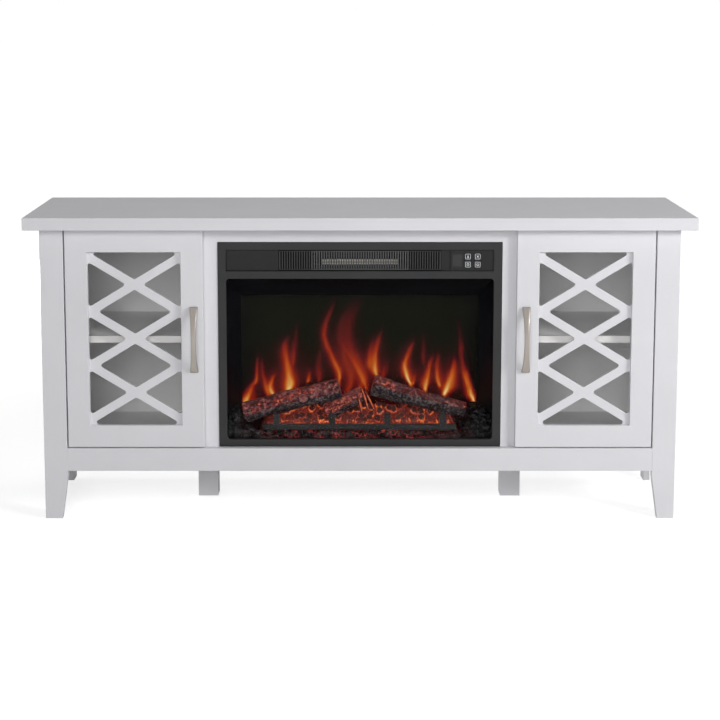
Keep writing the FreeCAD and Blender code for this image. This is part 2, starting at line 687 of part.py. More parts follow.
def make_blank_panel():
    body = new_body("blank_panel")
    outline = sketch(body, "blank_outline", "XZ", "strip_rear",
                     [rect("-win_half", "-grille_w / 2", "strip_low", "strip_high")])
    pad(body, "blank_slab", outline, "strip_t")
    round_edges(body, "blank_ease", "panel_edge", on_plane("Y", levels.strip_front))
    keep(body, "blank_panel")


BUTTONS = {"flame_button": (0, 1), "heat_button": (1, 1), "timer_button": (0, 0), "power_button": (1, 0)}


def button_square(column, line, margin):
    x = f"panel_x + button_x - {0.5 - column} * button_pitch_x"
    z = f"strip_mid + {line - 0.5} * button_pitch_z"
    half = f"(button_w / 2 + {margin})"
    return rect(f"{x} - {half}", f"{x} + {half}", f"{z} - {half}", f"{z} + {half}")


def make_control_panel():
    body = new_body("control_panel")
    outline = sketch(body, "control_outline", "XZ", "strip_rear",
                     [rect("panel_low_x", "win_half", "strip_low", "strip_high")])
    pad(body, "control_slab", outline, "strip_t")
    raised = sketch(body, "raised_outline", "XZ", "strip_front",
                    [rect("panel_x", "panel_x + panel_w",
                          "strip_low + panel_edge", "strip_high - panel_edge")])
    pad(body, "raised_face", raised, "panel_lift")
    holes = sketch(body, "button_outlines", "XZ", "strip_rear",
                   [button_square(*spot, "button_gap") for spot in BUTTONS.values()])
    pocket(body, "button_holes", holes, "strip_t + panel_lift")
    wide, tall = display_span()
    display = sketch(body, "display_outline", "XZ", "strip_front - panel_lift + display_deep",
                     [rect(*wide, *tall)])
    pocket(body, "display_recess", display, "display_deep")
    keep(body, "control_panel")


def display_span():
    return (("panel_x + display_x - display_w / 2", "panel_x + display_x + display_w / 2"),
            ("strip_mid - display_h / 2", "strip_mid + display_h / 2"))


def make_display_window():
    wide, tall = display_span()
    face = "strip_front - panel_lift"
    keep(box("display_window", wide, (face, f"{face} + display_deep"), tall), "display_window")


def make_buttons():
    """Square push buttons, each kept in by a lip behind the panel."""
    for label, spot in BUTTONS.items():
        body = new_body(label)
        cap = sketch(body, label + "_cap", "XZ", "button_lip_y", [button_square(*spot, "0")])
        pad(body, label + "_stem", cap, "button_lip_y - strip_front + panel_lift + button_lift")
        round_edges(body, label + "_corners", "button_r", along_y)
        lip = sketch(body, label + "_lip_outline", "XZ", "button_lip_y", [button_square(*spot, "button_lip")])
        pad(body, label + "_lip", lip, "button_lip", backwards=True)
        keep(body, label)


def make_control_board():
    middle = "(panel_x + panel_w / 2)"
    board = box("pcb", (f"{middle} - board_w / 2", f"{middle} + board_w / 2"), ("pcb_y", "pcb_y + pcb_t"),
                ("strip_mid - board_tall / 2", "strip_mid + board_tall / 2"))
    posts = [rod(f"standoff_{side}", "y", "standoff_d / 2", (f"{middle} {sign} standoff_x", "strip_mid"),
                 ("panel_back", "pcb_y")) for side, sign in (("left", "-"), ("right", "+"))]
    keep(fuse("control_board", board, *posts), "control_board")


# Insert case
def make_case():
    """Sheet wrap of floor, walls and ceiling, with a bearing tab for each rotor."""
    deep = ("bezel_rear", "case_rear")
    outer = box("case_outside", ("-case_half", "case_half"), deep, ("floor_z", "case_top"))
    inner = box("case_inside", ("-case_half + sheet_t", "case_half - sheet_t"), deep, ("deck_z", "ceiling_z"))
    blower_tab = box("blower_tab", ("-blower_l / 2 - side_play - bearing_t", "-blower_l / 2 - side_play"),
                     ("blower_y - bearing_w / 2", "blower_y + bearing_w / 2"),
                     ("blower_z - bearing_w / 2", "ceiling_z"))
    rotor_tab = box("rotor_tab", ("-rotor_l / 2 - side_play - bearing_t", "-rotor_l / 2 - side_play"),
                    ("rotor_y - bearing_w / 2", "rotor_y + bearing_w / 2"),
                    ("deck_z", "rotor_z + bearing_w / 2"))
    bores = [rod(f"{name}_bearing", "x", "shaft_d / 2 + shaft_fit", (f"{name}_y", f"{name}_z"),
                 (f"-{name}_l / 2 - journal_l", f"-{name}_l / 2")) for name in ("blower", "rotor")]
    walls = cut("case_walls", outer, inner)
    keep(cut("insert_case", fuse("case_blank", walls, blower_tab, rotor_tab), *bores), "insert_case")


def make_rear_cover():
    body = new_body("cover_plate")
    pad(body, "cover_slab", sketch(body, "cover_outline", "XZ", "case_rear + sheet_t",
                                   [rect("-case_half", "case_half", "floor_z", "case_top")]), "sheet_t")
    span = "(vent_pitch * (vent_count - 1))"
    first = f"-{span} / 2"
    slots = [rect(f"{first} - vent_w / 2", f"{first} + vent_w / 2", low, f"{low} + vent_h")
             for low in ("floor_z + vent_up", "case_top - vent_up - vent_h")]
    outline = sketch(body, "vent_outline", "XZ", "case_rear + sheet_t", slots)
    vent = pocket(body, "first_vents", outline, "sheet_t")
    row(body, "vent_row", vent, "X", span, "vent_count")
    hole = rod("gland_hole", "y", "gland_d / 2", ("gland_x", "floor_z + gland_up"),
               ("case_rear", "case_rear + sheet_t"))
    keep(cut("rear_cover", body, hole), "rear_cover")


def make_cord_gland():
    centre = ("gland_x", "floor_z + gland_up")
    outside = "case_rear + sheet_t"
    neck = rod("gland_neck", "y", "gland_d / 2", centre, ("case_rear", outside))
    boot = rod("gland_boot", "y", "gland_d / 2 + gland_lip", centre, (outside, f"{outside} + gland_l"))
    bore = rod("gland_bore", "y", "cord_d / 2", centre, ("case_rear", f"{outside} + gland_l"))
    keep(cut("cord_gland", fuse("gland_blank", neck, boot), bore), "cord_gland")


# Firebox
def make_liner():
    """Black hood whose walls draw in from the window to the flame screen."""
    depth = ("bezel_rear", "screen_y")
    lap = "funnel_lap"
    outer = wedge("liner_outside", (f"-win_half - {lap}", f"win_half + {lap}", "deck_z", f"win_high + {lap}"),
                  (f"-screen_half - {lap}", f"screen_half + {lap}", "deck_z", f"screen_high + {lap}"), depth)
    wall = "(funnel_lap - funnel_t)"
    inner = wedge("liner_inside",
                  (f"-win_half - {wall}", f"win_half + {wall}", "deck_z", f"win_high + {wall}"),
                  (f"-screen_half - {wall}", f"screen_half + {wall}", "deck_z", f"screen_high + {wall}"),
                  depth)
    keep(cut("firebox_liner", outer, inner), "firebox_liner")


def make_flame_screen():
    keep(box("flame_screen", ("-screen_half - funnel_lap", "screen_half + funnel_lap"),
             ("screen_y", "screen_y + screen_t"), ("deck_z", "screen_high + funnel_lap")), "flame_screen")


def log_cone(name, size, x, tilt, tip):
    """A tapered log rising from its foot at the given x, leaning towards +X by the tilt."""
    cone = doc.addObject("Part::Cone", name)
    cone.Placement.Rotation = Rotation(Vector(0, 1, 0), 1)
    bind(cone, "Radius1", f"{size}_r")
    bind(cone, "Radius2", tip)
    bind(cone, "Height", f"{size}_l")
    bind(cone, "Placement.Rotation.Angle", tilt)
    bind(cone, "Placement.Base.x", x)
    bind(cone, "Placement.Base.y", "log_mid_y")
    bind(cone, "Placement.Base.z", f"deck_z + {size}_up")
    return cone


def make_fire_bed():
    """Coal tray, grate, glowing bed and three logs, each cut to seat on the one below."""
    left = log_cone("left_log_cone", "left_log", "left_log_x", "90 - left_log_tilt", "left_log_tip_r")
    right = log_cone("right_log_cone", "right_log", "right_log_x", "right_log_tilt - 90", "right_log_tip_r")
    middle = log_cone("mid_log_cone", "mid_log", "mid_log_x", "90 - mid_log_tilt", "mid_log_tip_r")
    logs = group("all_logs", left, right, middle)
    ember = wedge("ember_wedge", ("-ember_half", "ember_half", "bed_top", "deck_z + ember_front_h"),
                  ("-ember_half", "ember_half", "bed_top", "deck_z + ember_rear_h"),
                  ("ember_front", "ember_rear"))
    edge = "(coal_gap - funnel_lap + funnel_t)"

    def tray_slice(name, low, high, cut_in=None):
        """A layer of the tray between two heights, following the drawn-in liner."""
        near_half, far_half = f"(win_half - {edge})", f"(screen_half - {edge})"
        ends = [(f"-{half}", half, low, high) for half in (near_half, far_half)]
        block = wedge(name, *ends, ("bed_front", "screen_y - coal_gap"))
        return cut(name + "_rim", block, cut_in) if cut_in else block

    base = tray_slice("coal_base", "deck_z", "bed_top")
    between = box("coal_front_gap", ("-win_half + coal_side_w", "win_half - coal_side_w"),
                  ("bed_front + coal_front_d", "screen_y"), ("bed_top", "deck_z + coal_side_h"))
    above = box("coal_front_top", ("-win_half + coal_side_w", "win_half - coal_side_w"),
                ("bed_front", "screen_y"), ("deck_z + coal_front_h", "deck_z + coal_side_h"))
    banks = tray_slice("coal_banks", "bed_top", "deck_z + coal_side_h", group("coal_hollow", between, above))
    coal = fuse("coal_blank", base, banks)
    bar_low = "deck_z + grate_up"
    grate_deep = ("grate_front", "grate_front + grate_d")
    bar = box("grate_bar", ("-grate_w / 2", "grate_w / 2"), grate_deep, ("bed_top", f"{bar_low} + grate_h"))
    last = "(tine_count - 1) / 2 * tine_pitch"
    under = box("grate_under", (f"-{last} + tine_w / 2", f"{last} - tine_w / 2"), grate_deep,
                ("bed_top", bar_low))
    tines = []
    for k in range(int(sizes.tine_count)):
        x = f"{k} * tine_pitch - {last}"
        tines.append(box(f"grate_tine_{k}", (f"{x} - tine_w / 2", f"{x} + tine_w / 2"), grate_deep,
                         (bar_low, f"{bar_low} + grate_h + tine_h")))
    grate = cut("grate_blank", fuse("grate_frame", bar, *tines), under)
    keep(cut("grate", grate, logs), "grate")
    keep(cut("coal_bed", coal, logs), "coal_bed")
    keep(cut("ember_bed", ember, logs), "ember_bed")
    keep(left, "left_log")
    keep(cut("right_log", right, left), "right_log")
    keep(cut("middle_log", middle, left, right), "middle_log")


# Heater, blower and flicker drive
def make_heater():
    front = "bezel_rear + heater_gap"
    bar = box("heater_bar", ("-heater_w / 2", "heater_w / 2"), (front, f"{front} + heater_d"),
              ("heater_z - heater_h / 2", "heater_z + heater_h / 2"))
    hangers = [box(f"heater_hanger_{side}",
                   (f"{sign} heater_w / 2 - hanger_w / 2", f"{sign} heater_w / 2 + hanger_w / 2"),
                   (front, f"{front} + heater_d"), ("heater_z - heater_h / 2", "ceiling_z"))
               for side, sign in (("left", "-"), ("right", ""))]
    keep(fuse("heater_element", bar, *hangers), "heater_element")


def make_blower_wheel():
    """Cross-flow wheel: two discs, a ring of blades and a shaft."""
    body = new_body("blower_wheel")
    half = "blower_l / 2"
    pad(body, "blower_shaft", sketch(body, "blower_shaft_end", "YZ", f"-{half} - journal_l",
                                     circles=[("0", "0", "shaft_d / 2")]), "blower_l + 2 * journal_l")
    for side, at in (("left", f"-{half}"), ("right", f"{half} - blower_disc_t")):
        disc = sketch(body, f"blower_disc_{side}", "YZ", at, circles=[("0", "0", "blower_d / 2")])
        pad(body, f"blower_plate_{side}", disc, "blower_disc_t")
    blade = sketch(body, "blade_outline", "YZ", f"-{half}",
                   [rect("blower_d / 2 - blade_w - blade_t", "blower_d / 2 - blade_t",
                         "-blade_t / 2", "blade_t / 2")])
    ring(body, "blade_ring", pad(body, "first_blade", blade, "blower_l"), "blade_count")
    place_rotor(body, "blower")
    keep(body, "blower_wheel")


def make_flicker_rotor():
    """Shaft with bright vanes that throws moving light on the flame screen."""
    body = new_body("flicker_rotor")
    half = "rotor_l / 2"
    pad(body, "rotor_shaft", sketch(body, "rotor_shaft_end", "YZ", f"-{half} - journal_l",
                                    circles=[("0", "0", "shaft_d / 2")]), "rotor_l + 2 * journal_l")
    vane = sketch(body, "vane_outline", "YZ", f"-{half}",
                  [rect("0", "rotor_d / 2", "-vane_t / 2", "vane_t / 2")])
    ring(body, "vane_ring", pad(body, "first_vane", vane, "rotor_l"), "vane_count")
    place_rotor(body, "rotor")
    keep(body, "flicker_rotor")


def place_rotor(body, name):
    bind(body, "Placement.Base.y", f"{name}_y")
    bind(body, "Placement.Base.z", f"{name}_z")


def make_motor(label, name, foot_low, foot_high):
    """A round motor beside a rotor's right end, on a foot that reaches the case."""
    start = f"{name}_l / 2 + side_play"
    can = rod(f"{name}_motor_can", "x", "motor_d / 2", (f"{name}_y", f"{name}_z"),
              (start, f"{start} + motor_l"))
    foot = box(f"{name}_motor_foot", (start, f"{start} + motor_l"),
               (f"{name}_y - motor_foot_w / 2", f"{name}_y + motor_foot_w / 2"), (foot_low, foot_high))
    bore = rod(f"{name}_motor_bore", "x", "shaft_d / 2 + shaft_fit", (f"{name}_y", f"{name}_z"),
               (start, f"{start} + journal_l + side_play"))
    keep(cut(label, fuse(f"{name}_motor_blank", can, foot), bore), label)


def make_led_board():
    keep(box("led_board", ("-led_w / 2", "led_w / 2"), ("led_y", "led_y + led_d"),
             ("deck_z", "deck_z + led_h")), "led_board")


def build():
    make_top_panel()
    make_side_panels()
    make_dividers()
    make_bottom_panel()
    make_front_posts()
    make_apron()
    make_bay_trim()
    make_back_panels()
    make_middle_legs()
    make_shelves()
    make_shelf_pins()
    make_door_bumpers()
    make_door_frames()
    make_lattices()
    make_handles()
    make_hinge_cups()
    make_hinge_pins()
    make_hinge_arms()
    make_bezel()
    make_window_glass()
    make_grille()
    make_blank_panel()
    make_control_panel()
    make_display_window()
    make_buttons()
    make_control_board()
    make_case()
    make_rear_cover()
    make_cord_gland()
    make_liner()
    make_flame_screen()
    make_fire_bed()
    make_heater()
    make_blower_wheel()
    make_flicker_rotor()
    make_motor("blower_motor", "blower", "blower_z", "ceiling_z")
    make_motor("flicker_motor", "rotor", "deck_z", "rotor_z")
    make_led_board()
    doc.recompute()


def check():
    """Stops the build if any object failed or any sub-part is empty or broken."""
    for thing in doc.Objects:
        if {"Invalid", "Error"} & set(thing.State):
            raise RuntimeError(f"{thing.Name} failed: {thing.State}")
    for label, thing in nodes.items():
        if thing.Shape.isNull() or not thing.Shape.isValid() or not thing.Shape.Solids:
            raise RuntimeError(f"{label} has no valid solid")


def write():
    os.makedirs("parts", exist_ok=True)
    for label, thing in nodes.items():
        thing.Shape.exportStep(f"parts/{label}.step")
    print(f"wrote {len(nodes)} sub-parts")


build()
check()
write()
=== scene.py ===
import math
import bpy
import numpy as np
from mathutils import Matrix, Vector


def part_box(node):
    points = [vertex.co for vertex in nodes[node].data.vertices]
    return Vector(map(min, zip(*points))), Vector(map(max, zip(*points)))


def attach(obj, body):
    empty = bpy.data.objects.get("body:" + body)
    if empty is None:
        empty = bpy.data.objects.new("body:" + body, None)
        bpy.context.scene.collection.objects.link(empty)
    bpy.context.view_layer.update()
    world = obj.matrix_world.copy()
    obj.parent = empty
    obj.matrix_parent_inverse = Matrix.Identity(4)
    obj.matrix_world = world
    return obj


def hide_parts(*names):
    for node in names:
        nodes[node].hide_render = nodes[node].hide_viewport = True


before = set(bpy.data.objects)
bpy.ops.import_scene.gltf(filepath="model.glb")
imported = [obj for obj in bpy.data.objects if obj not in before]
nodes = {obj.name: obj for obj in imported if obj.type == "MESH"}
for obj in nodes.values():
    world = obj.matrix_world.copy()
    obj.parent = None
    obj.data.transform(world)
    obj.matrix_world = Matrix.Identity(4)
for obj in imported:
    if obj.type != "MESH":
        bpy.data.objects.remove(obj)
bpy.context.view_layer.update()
mm = 0.001
print("frame loaded with", len(nodes), "pieces")


# lowest and highest corner of a CAD node at rest, in millimetres
def boxOf(node):
    low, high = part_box(node)
    return np.array(low) / mm, np.array(high) / mm


# Whole-array noise: a lattice of repeatable values, blended smoothly.
def hashed(i, j, seed):
    n = (i * 73856093) ^ (j * 19349663) ^ (seed * 83492791)
    n = ((n ^ (n >> 13)) * 1274126177) & 0x7FFFFFFF
    n = ((n ^ (n >> 16)) * 668265263) & 0x7FFFFFFF
    return (n & 0xFFFFFF) / 0xFFFFFF


# value noise: corner values mixed by the smoothstep of the place inside the cell
def softNoise(u, v, seed, period=0):
    i, j = np.floor(u).astype(np.int64), np.floor(v).astype(np.int64)
    a, b = u - i, v - j
    a, b = a * a * (3 - 2 * a), b * b * (3 - 2 * b)
    jNext = j + 1
    if period:
        j, jNext = j % period, jNext % period
    low = hashed(i, j, seed) * (1 - a) + hashed(i + 1, j, seed) * a
    high = hashed(i, jNext, seed) * (1 - a) + hashed(i + 1, jNext, seed) * a
    return low * (1 - b) + high * b


# octaves of value noise, each half as strong and twice as fine
def layered(u, v, seed, octaves=4, period=0):
    total, weight = 0.0, 0.0
    for k in range(octaves):
        total = total + softNoise(u * 2 ** k, v * 2 ** k, seed + k, period * 2 ** k) / 2 ** k
        weight += 1 / 2 ** k
    return total / weight


# noise of a strength and size, as far below 0 as above
def sway(u, v, strength, size, seed, octaves=4):
    return strength * (layered(u / size, v / size, seed, octaves) - 0.5)


# cell noise: distance to the nearest and second nearest of one jittered point per cell
def lumpNoise(u, v, seed, jitter=0.85, period=0):
    i, j = np.floor(u).astype(np.int64), np.floor(v).astype(np.int64)
    near = second = np.full(u.shape, 9.0)
    tint = np.zeros(u.shape)
    for di in (-1, 0, 1):
        for dj in (-1, 0, 1):
            row = (j + dj) % period if period else j + dj
            px = i + di + 0.5 + jitter * (hashed(i + di, row, seed) - 0.5)
            py = j + dj + 0.5 + jitter * (hashed(i + di, row, seed + 7) - 0.5)
            d = np.hypot(u - px, v - py)
            closer = d < near
            second = np.where(closer, near, np.minimum(second, d))
            tint = np.where(closer, hashed(i + di, row, seed + 13), tint)
            near = np.where(closer, d, near)
    return near, second, tint


# from 0 at low to 1 at high, level at both ends
def ease(low, high, x):
    t = np.clip((x - low) / (high - low), 0, 1)
    return t * t * (3 - 2 * t)


# bell curve: 1 in the middle, 1/e at the width
def bell(x, width):
    return np.exp(-(x / width) ** 2)


# height of a unit circle at x from its middle, and 0 outside it
def roundOver(x):
    return np.sqrt(np.clip(1 - x ** 2, 0, 1))


def unit(ways):
    return ways / np.linalg.norm(ways, axis=-1)[..., None]


# places on an even grid, each way given as its first, last and count
def evenGrid(rows, columns):
    return np.meshgrid(np.linspace(*rows), np.linspace(*columns), indexing="ij")


# quads between neighbouring rows and columns of a grid; wrap joins the last column to the first
def gridQuads(rows, cols, wrap=False):
    r = np.arange(rows - 1)[:, None] * cols
    c = np.arange(cols if wrap else cols - 1)[None, :]
    nextC = (c + 1) % cols
    return np.stack([r + c, r + nextC, r + cols + nextC, r + cols + c], -1).reshape(-1, 4)


# six times the enclosed volume: positive where the faces of a closed shell point outwards
def shellVolume(points, quads):
    a, b, c, d = (points[quads[:, k]] for k in range(4))
    return np.sum(np.cross(a, b) * c) + np.sum(np.cross(a, c) * d)


# A shell is its points in millimetres and a list of face arrays.
# tube: a grid of points that goes round in its columns, closed by a fan at each end
def closedTube(grid):
    rows, cols = grid.shape[:2]
    points = np.concatenate([grid.reshape(-1, 3), grid[:1].mean(1), grid[-1:].mean(1)])
    ring, last = np.arange(cols), (rows - 1) * cols
    following = np.roll(ring, -1)
    blocks = [gridQuads(rows, cols, wrap=True),
              np.stack([following, ring, np.full(cols, rows * cols)], -1),
              np.stack([ring + last, following + last, np.full(cols, rows * cols + 1)], -1)]
    if shellVolume(points, blocks[0]) < 0:
        blocks = [block[:, ::-1] for block in blocks]
    return points, blocks


# sheet: an open grid, closed by its rim moved to one level and a flat back face
def backedSheet(grid, axis, level):
    rows, cols = grid.shape[:2]
    index = np.arange(rows * cols).reshape(rows, cols)
    rim = np.concatenate([index[0, :-1], index[:-1, -1], index[-1, :0:-1], index[:0:-1, 0]])
    front = grid.reshape(-1, 3)
    behind = front[rim]
    behind[:, axis] = level
    number = rows * cols + np.arange(len(rim))
    edge = np.stack([rim, number, np.roll(number, -1), np.roll(rim, -1)], -1)
    return np.concatenate([front, behind]), [gridQuads(rows, cols), edge, number[None, ::-1]]


# values of a sheet's front, with zeros for the points behind it
def backedValues(points, **columns):
    return {key: np.append(column.ravel(), np.zeros(len(points) - column.size))
            for key, column in columns.items()}


# a section carried along a path: its offsets go across and up
def carried(path, across, up, section):
    return path[:, None] + across[:, None] * section[None, :, :1] + up[:, None] * section[None, :, 1:]


# its shell, with two ends or joined into a loop
def swept(path, across, up, section, closed=False):
    grid = carried(path, across, up, section)
    if not closed:
        return closedTube(grid)
    points = grid.reshape(-1, 3)
    quads = gridQuads(len(path) + 1, len(section), wrap=True) % len(points)
    return points, [quads[:, ::-1] if shellVolume(points, quads) < 0 else quads]


def joinShells(shells):
    points, faces, count = [], [], 0
    for shellPoints, shellFaces in shells:
        points.append(shellPoints)
        faces += [block + count for block in shellFaces]
        count += len(shellPoints)
    return np.concatenate(points), faces


def addObject(name, data):
    made = bpy.data.objects.new(name, data)
    bpy.context.scene.collection.objects.link(made)
    return made


# a piece rides on the cabinet unless it names another body
def makePiece(name, shell, material, stands=(), body="cabinet", smooth=True, values=None):
    points, faces = shell
    mesh = bpy.data.meshes.new(name)
    mesh.from_pydata((points * mm).tolist(), [], [face for block in faces for face in block.tolist()])
    mesh.polygons.foreach_set("use_smooth", [smooth] * len(mesh.polygons))
    for key, column in (values or {}).items():
        wide = column.ndim == 2
        layer = mesh.attributes.new(key, "FLOAT_COLOR" if wide else "FLOAT", "POINT")
        layer.data.foreach_set("color" if wide else "value", column.astype(np.float32).ravel())
    mesh.materials.append(material)
    mesh.update()
    piece = addObject(name, mesh)
    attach(piece, body)
    if stands:
        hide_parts(*stands)


# Materials: helpers that add a node, set its sockets and link what is a socket already.
class Recipe:
    def __init__(self, name, home="materials", shader="Principled BSDF"):
        self.material = getattr(bpy.data, home).new(name)
        self.material.use_nodes = True
        self.tree = self.material.node_tree
        self.shader = self.tree.nodes[shader]
        self.place = self.add("ShaderNodeTexCoord").outputs["Object"]

    def put(self, socket, value):
        if isinstance(value, bpy.types.NodeSocket):
            self.tree.links.new(value, socket)
        else:
            socket.default_value = value

    # an input is given by its name, or as i and its number
    def add(self, kind, settings=None, **inputs):
        made = self.tree.nodes.new(kind)
        for key, value in (settings or {}).items():
            setattr(made, key, value)
        for key, value in inputs.items():
            numbered = key[0] == "i" and key[1:].isdigit()
            self.put(made.inputs[int(key[1:]) if numbered else key], value)
        return made

    def set(self, **inputs):
        for key, value in inputs.items():
            self.put(self.shader.inputs[key.replace("_", " ")], value)

    def axes(self):
        return self.add("ShaderNodeSeparateXYZ", i0=self.place).outputs

    def stretched(self, scale):
        return self.add("ShaderNodeMapping", Vector=self.place, Scale=scale).outputs[0]

    def noise(self, scale, detail=4.0, rough=0.55, vector=None):
        made = self.add("ShaderNodeTexNoise", Vector=vector or self.place, Scale=scale,
                        Detail=detail, Roughness=rough)
        return made.outputs["Fac"]

    # spreads the values from start to end between two numbers
    def spread(self, fac, low, high, start=0.3, end=0.7):
        made = self.add("ShaderNodeMapRange", i0=fac, i1=start, i2=end, i3=low, i4=high)
        return made.outputs[0]

    def ramp(self, fac, *stops):
        made = self.add("ShaderNodeValToRGB", Fac=fac)
        points = made.color_ramp.elements
        while len(points) < len(stops):
            points.new(0.5)
        for point, (at, colour) in zip(points, stops):
            point.position = at
            point.color = (*colour, 1)
        return made.outputs["Color"]

    def attribute(self, name, output="Fac"):
        return self.add("ShaderNodeAttribute", {"attribute_name": name}).outputs[output]

    def math(self, kind, a, b):
        return self.add("ShaderNodeMath", {"operation": kind}, i0=a, i1=b).outputs[0]

    def bump(self, height, strength, distance):
        made = self.add("ShaderNodeBump", Strength=strength, Distance=distance, Height=height)
        self.put(self.shader.inputs["Normal"], made.outputs[0])
        return self.material

    def surface(self, made):
        self.put(self.tree.nodes["Material Output"].inputs["Surface"], made.outputs[0])


def shaded(colour, share):
    return tuple(share * c for c in colour)


# sprayed satin paint: faint mottling, a slightly uneven sheen and a fine orange-peel skin
def satinPaint(name, colour, depth=0.00004):
    r = Recipe(name)
    r.set(Base_Color=r.ramp(r.noise(5.0), (0.35, shaded(colour, 0.965)), (0.65, colour)),
          Roughness=r.spread(r.noise(38.0), 0.59, 0.64), Specular_IOR_Level=0.2)
    return r.bump(r.noise(900.0, 2.0), 0.35, depth)


# laminated hardboard: paper grain with pressed fibres
def laminate(name, colour):
    r = Recipe(name)
    fibre = r.noise(260.0, 4.0, 0.6, r.stretched((1.0, 1.0, 0.3)))
    r.set(Base_Color=r.ramp(fibre, (0.3, shaded(colour, 0.975)), (0.7, colour)),
          Roughness=r.spread(r.noise(60.0), 0.55, 0.7))
    return r.bump(fibre, 0.2, 0.00005)


# metal with drawn-out scratches along one axis
def brushedMetal(name, colour, lines, low, high):
    r = Recipe(name)
    grain = r.noise(1400.0, 5.0, 0.7, r.stretched(lines))
    cloud = r.noise(25.0, 3.0)
    tone = r.math("ADD", r.math("MULTIPLY", grain, 0.7), r.math("MULTIPLY", cloud, 0.3))
    r.set(Base_Color=r.ramp(tone, (0.3, shaded(colour, 0.86)), (0.7, colour)),
          Metallic=1.0, Roughness=r.spread(grain, low, high))
    return r.bump(grain, 0.25, 0.00003)


# powder coat or moulded plastic: fine pebbled skin, cloudy sheen
def pebbled(name, colour, low, high, grain, depth, sheen):
    r = Recipe(name)
    speck = r.noise(grain, 3.0)
    r.set(Base_Color=r.ramp(r.noise(12.0), (0.35, colour), (0.65, shaded(colour, 1.35))),
          Roughness=r.spread(speck, low, high), Specular_IOR_Level=sheen)
    return r.bump(speck, 0.5, depth)


# 1 on the face of a strip, 0 in a band of painted shade round its edges, where its joint gap is: by distance
# from its middle
def faceInside(r, axis, middle, half, shadeBand=1.5, soft=0.4):
    away = r.math("ABSOLUTE", r.math("SUBTRACT", r.axes()[axis], middle * mm), 0.0)
    return r.spread(away, 1.0, 0.0, (half - shadeBand - soft) * mm, (half - shadeBand + soft) * mm)


# slats: the fronts are painted lighter over the open mouth, a painted highlight, and the grooves go black
# with depth, painted shade, as does the band round the strip's edges
def slattedPlastic(name, front, mouthHighlight, deep, place):
    r = Recipe(name)
    speck = r.noise(800.0, 3.0)
    axes = r.axes()
    sideways = r.math("ABSOLUTE", axes["X"], 0.0)
    mouth = r.spread(sideways, 0.0, 1.0, (place["mouth"] - 1) * mm, (place["mouth"] + 1) * mm)
    groove = r.spread(axes["Y"], 0.0, 1.0, place["front"] * mm, (place["front"] + place["groove"]) * mm)
    face = r.math("MULTIPLY", faceInside(r, "Z", place["middle"], place["tall"] / 2, place["rim"]),
                  faceInside(r, "X", 0.0, place["half"]))
    # painted shade: black deep in the grooves and in the band round the strip's edges
    dark = r.math("MAXIMUM", groove, r.math("SUBTRACT", 1.0, face))
    # painted highlight: the slat fronts are lighter over the open mouth
    lit = r.ramp(mouth, (0.0, mouthHighlight), (1.0, front))
    tone = r.add("ShaderNodeMix", {"data_type": "RGBA"}, i0=dark, i6=lit, i7=(*deep, 1))
    r.set(Base_Color=tone.outputs[2], Roughness=r.spread(speck, 0.45, 0.6), Specular_IOR_Level=0.1)
    return r.bump(speck, 0.4, 0.00003)


# strip panels: pebbled plastic, with black painted shade in the joint gaps above, below and at the step of
# the raised plate
def stripPlastic(name, colour, low, high, grain, depth, sheen, place):
    r = Recipe(name)
    speck = r.noise(grain, 3.0)
    step = r.math("ABSOLUTE", r.math("SUBTRACT", r.axes()["X"], place["step"] * mm), 0.0)
    face = r.math("MULTIPLY", faceInside(r, "Z", place["middle"], place["tall"] / 2),
                  r.spread(step, 0.0, 1.0, 0.6 * mm, 1.4 * mm))
    cloud = r.math("MULTIPLY", r.noise(12.0), face)
    # painted shade: where the face mask is 0, in the joint gaps, the tone goes to black
    tone = r.ramp(cloud, (0.0, (0.001, 0.001, 0.001)), (0.34, colour), (0.65, shaded(colour, 1.35)))
    r.set(Base_Color=tone, Roughness=r.spread(speck, low, high), Specular_IOR_Level=sheen)
    return r.bump(speck, 0.5, depth)


# panes: clear glass for the eye and mirror rays, open to the lamps' shadow rays
def clearPane(name):
    r = Recipe(name)
    tint = r.ramp(r.noise(6.0, 3.0), (0.3, (0.95, 0.96, 0.96)), (0.7, (0.98, 0.985, 0.985)))
    r.set(Base_Color=tint, Transmission_Weight=1.0, IOR=1.06, Roughness=0.0)
    shadow = r.add("ShaderNodeLightPath").outputs["Is Shadow Ray"]
    clear = r.add("ShaderNodeBsdfTransparent").outputs[0]
    mixed = r.add("ShaderNodeMixShader", i0=shadow, i1=r.shader.outputs[0], i2=clear)
    r.surface(mixed)
    return r.material


# printed circuit: green mask with a maze of tracks and bright pads
def circuitBoard(name):
    r = Recipe(name)
    maze = r.add("ShaderNodeTexVoronoi", {"distance": "MANHATTAN"}, Vector=r.place, Scale=240.0)
    cell = maze.outputs["Distance"]
    pads, tracks, mask = (0.6, 0.5, 0.3), (0.01, 0.09, 0.04), (0.02, 0.16, 0.07)
    r.set(Base_Color=r.ramp(cell, (0.12, pads), (0.16, tracks), (0.5, mask)),
          Roughness=r.spread(r.noise(80.0), 0.3, 0.5))
    return r.bump(cell, 0.3, 0.0001)


# resin lit from inside: dark skin by tone, red to orange light by the glow attribute, which on the logs also
# holds painted light from the flames
def glowingResin(name, dark, pale, red, orange, grain, gloss, sheen=0.12):
    r = Recipe(name)
    speck = r.noise(grain, 3.0, 0.6)
    glow = r.math("MULTIPLY", r.attribute("glow"), r.spread(speck, 0.55, 1.35, 0.35, 0.65))
    tone = r.math("ADD", r.math("MULTIPLY", r.attribute("tone"), 0.5), r.math("MULTIPLY", speck, 0.5))
    light = r.ramp(glow, (0.0, (0, 0, 0)), (0.25, shaded(red, 0.3)), (0.6, red), (1.0, orange))
    r.set(Base_Color=r.ramp(tone, (0.34, dark), (0.62, pale)), Roughness=r.spread(speck, *gloss),
          Emission_Color=light, Emission_Strength=1.0, Specular_IOR_Level=sheen)
    return r.bump(speck, 0.6, 0.0012)


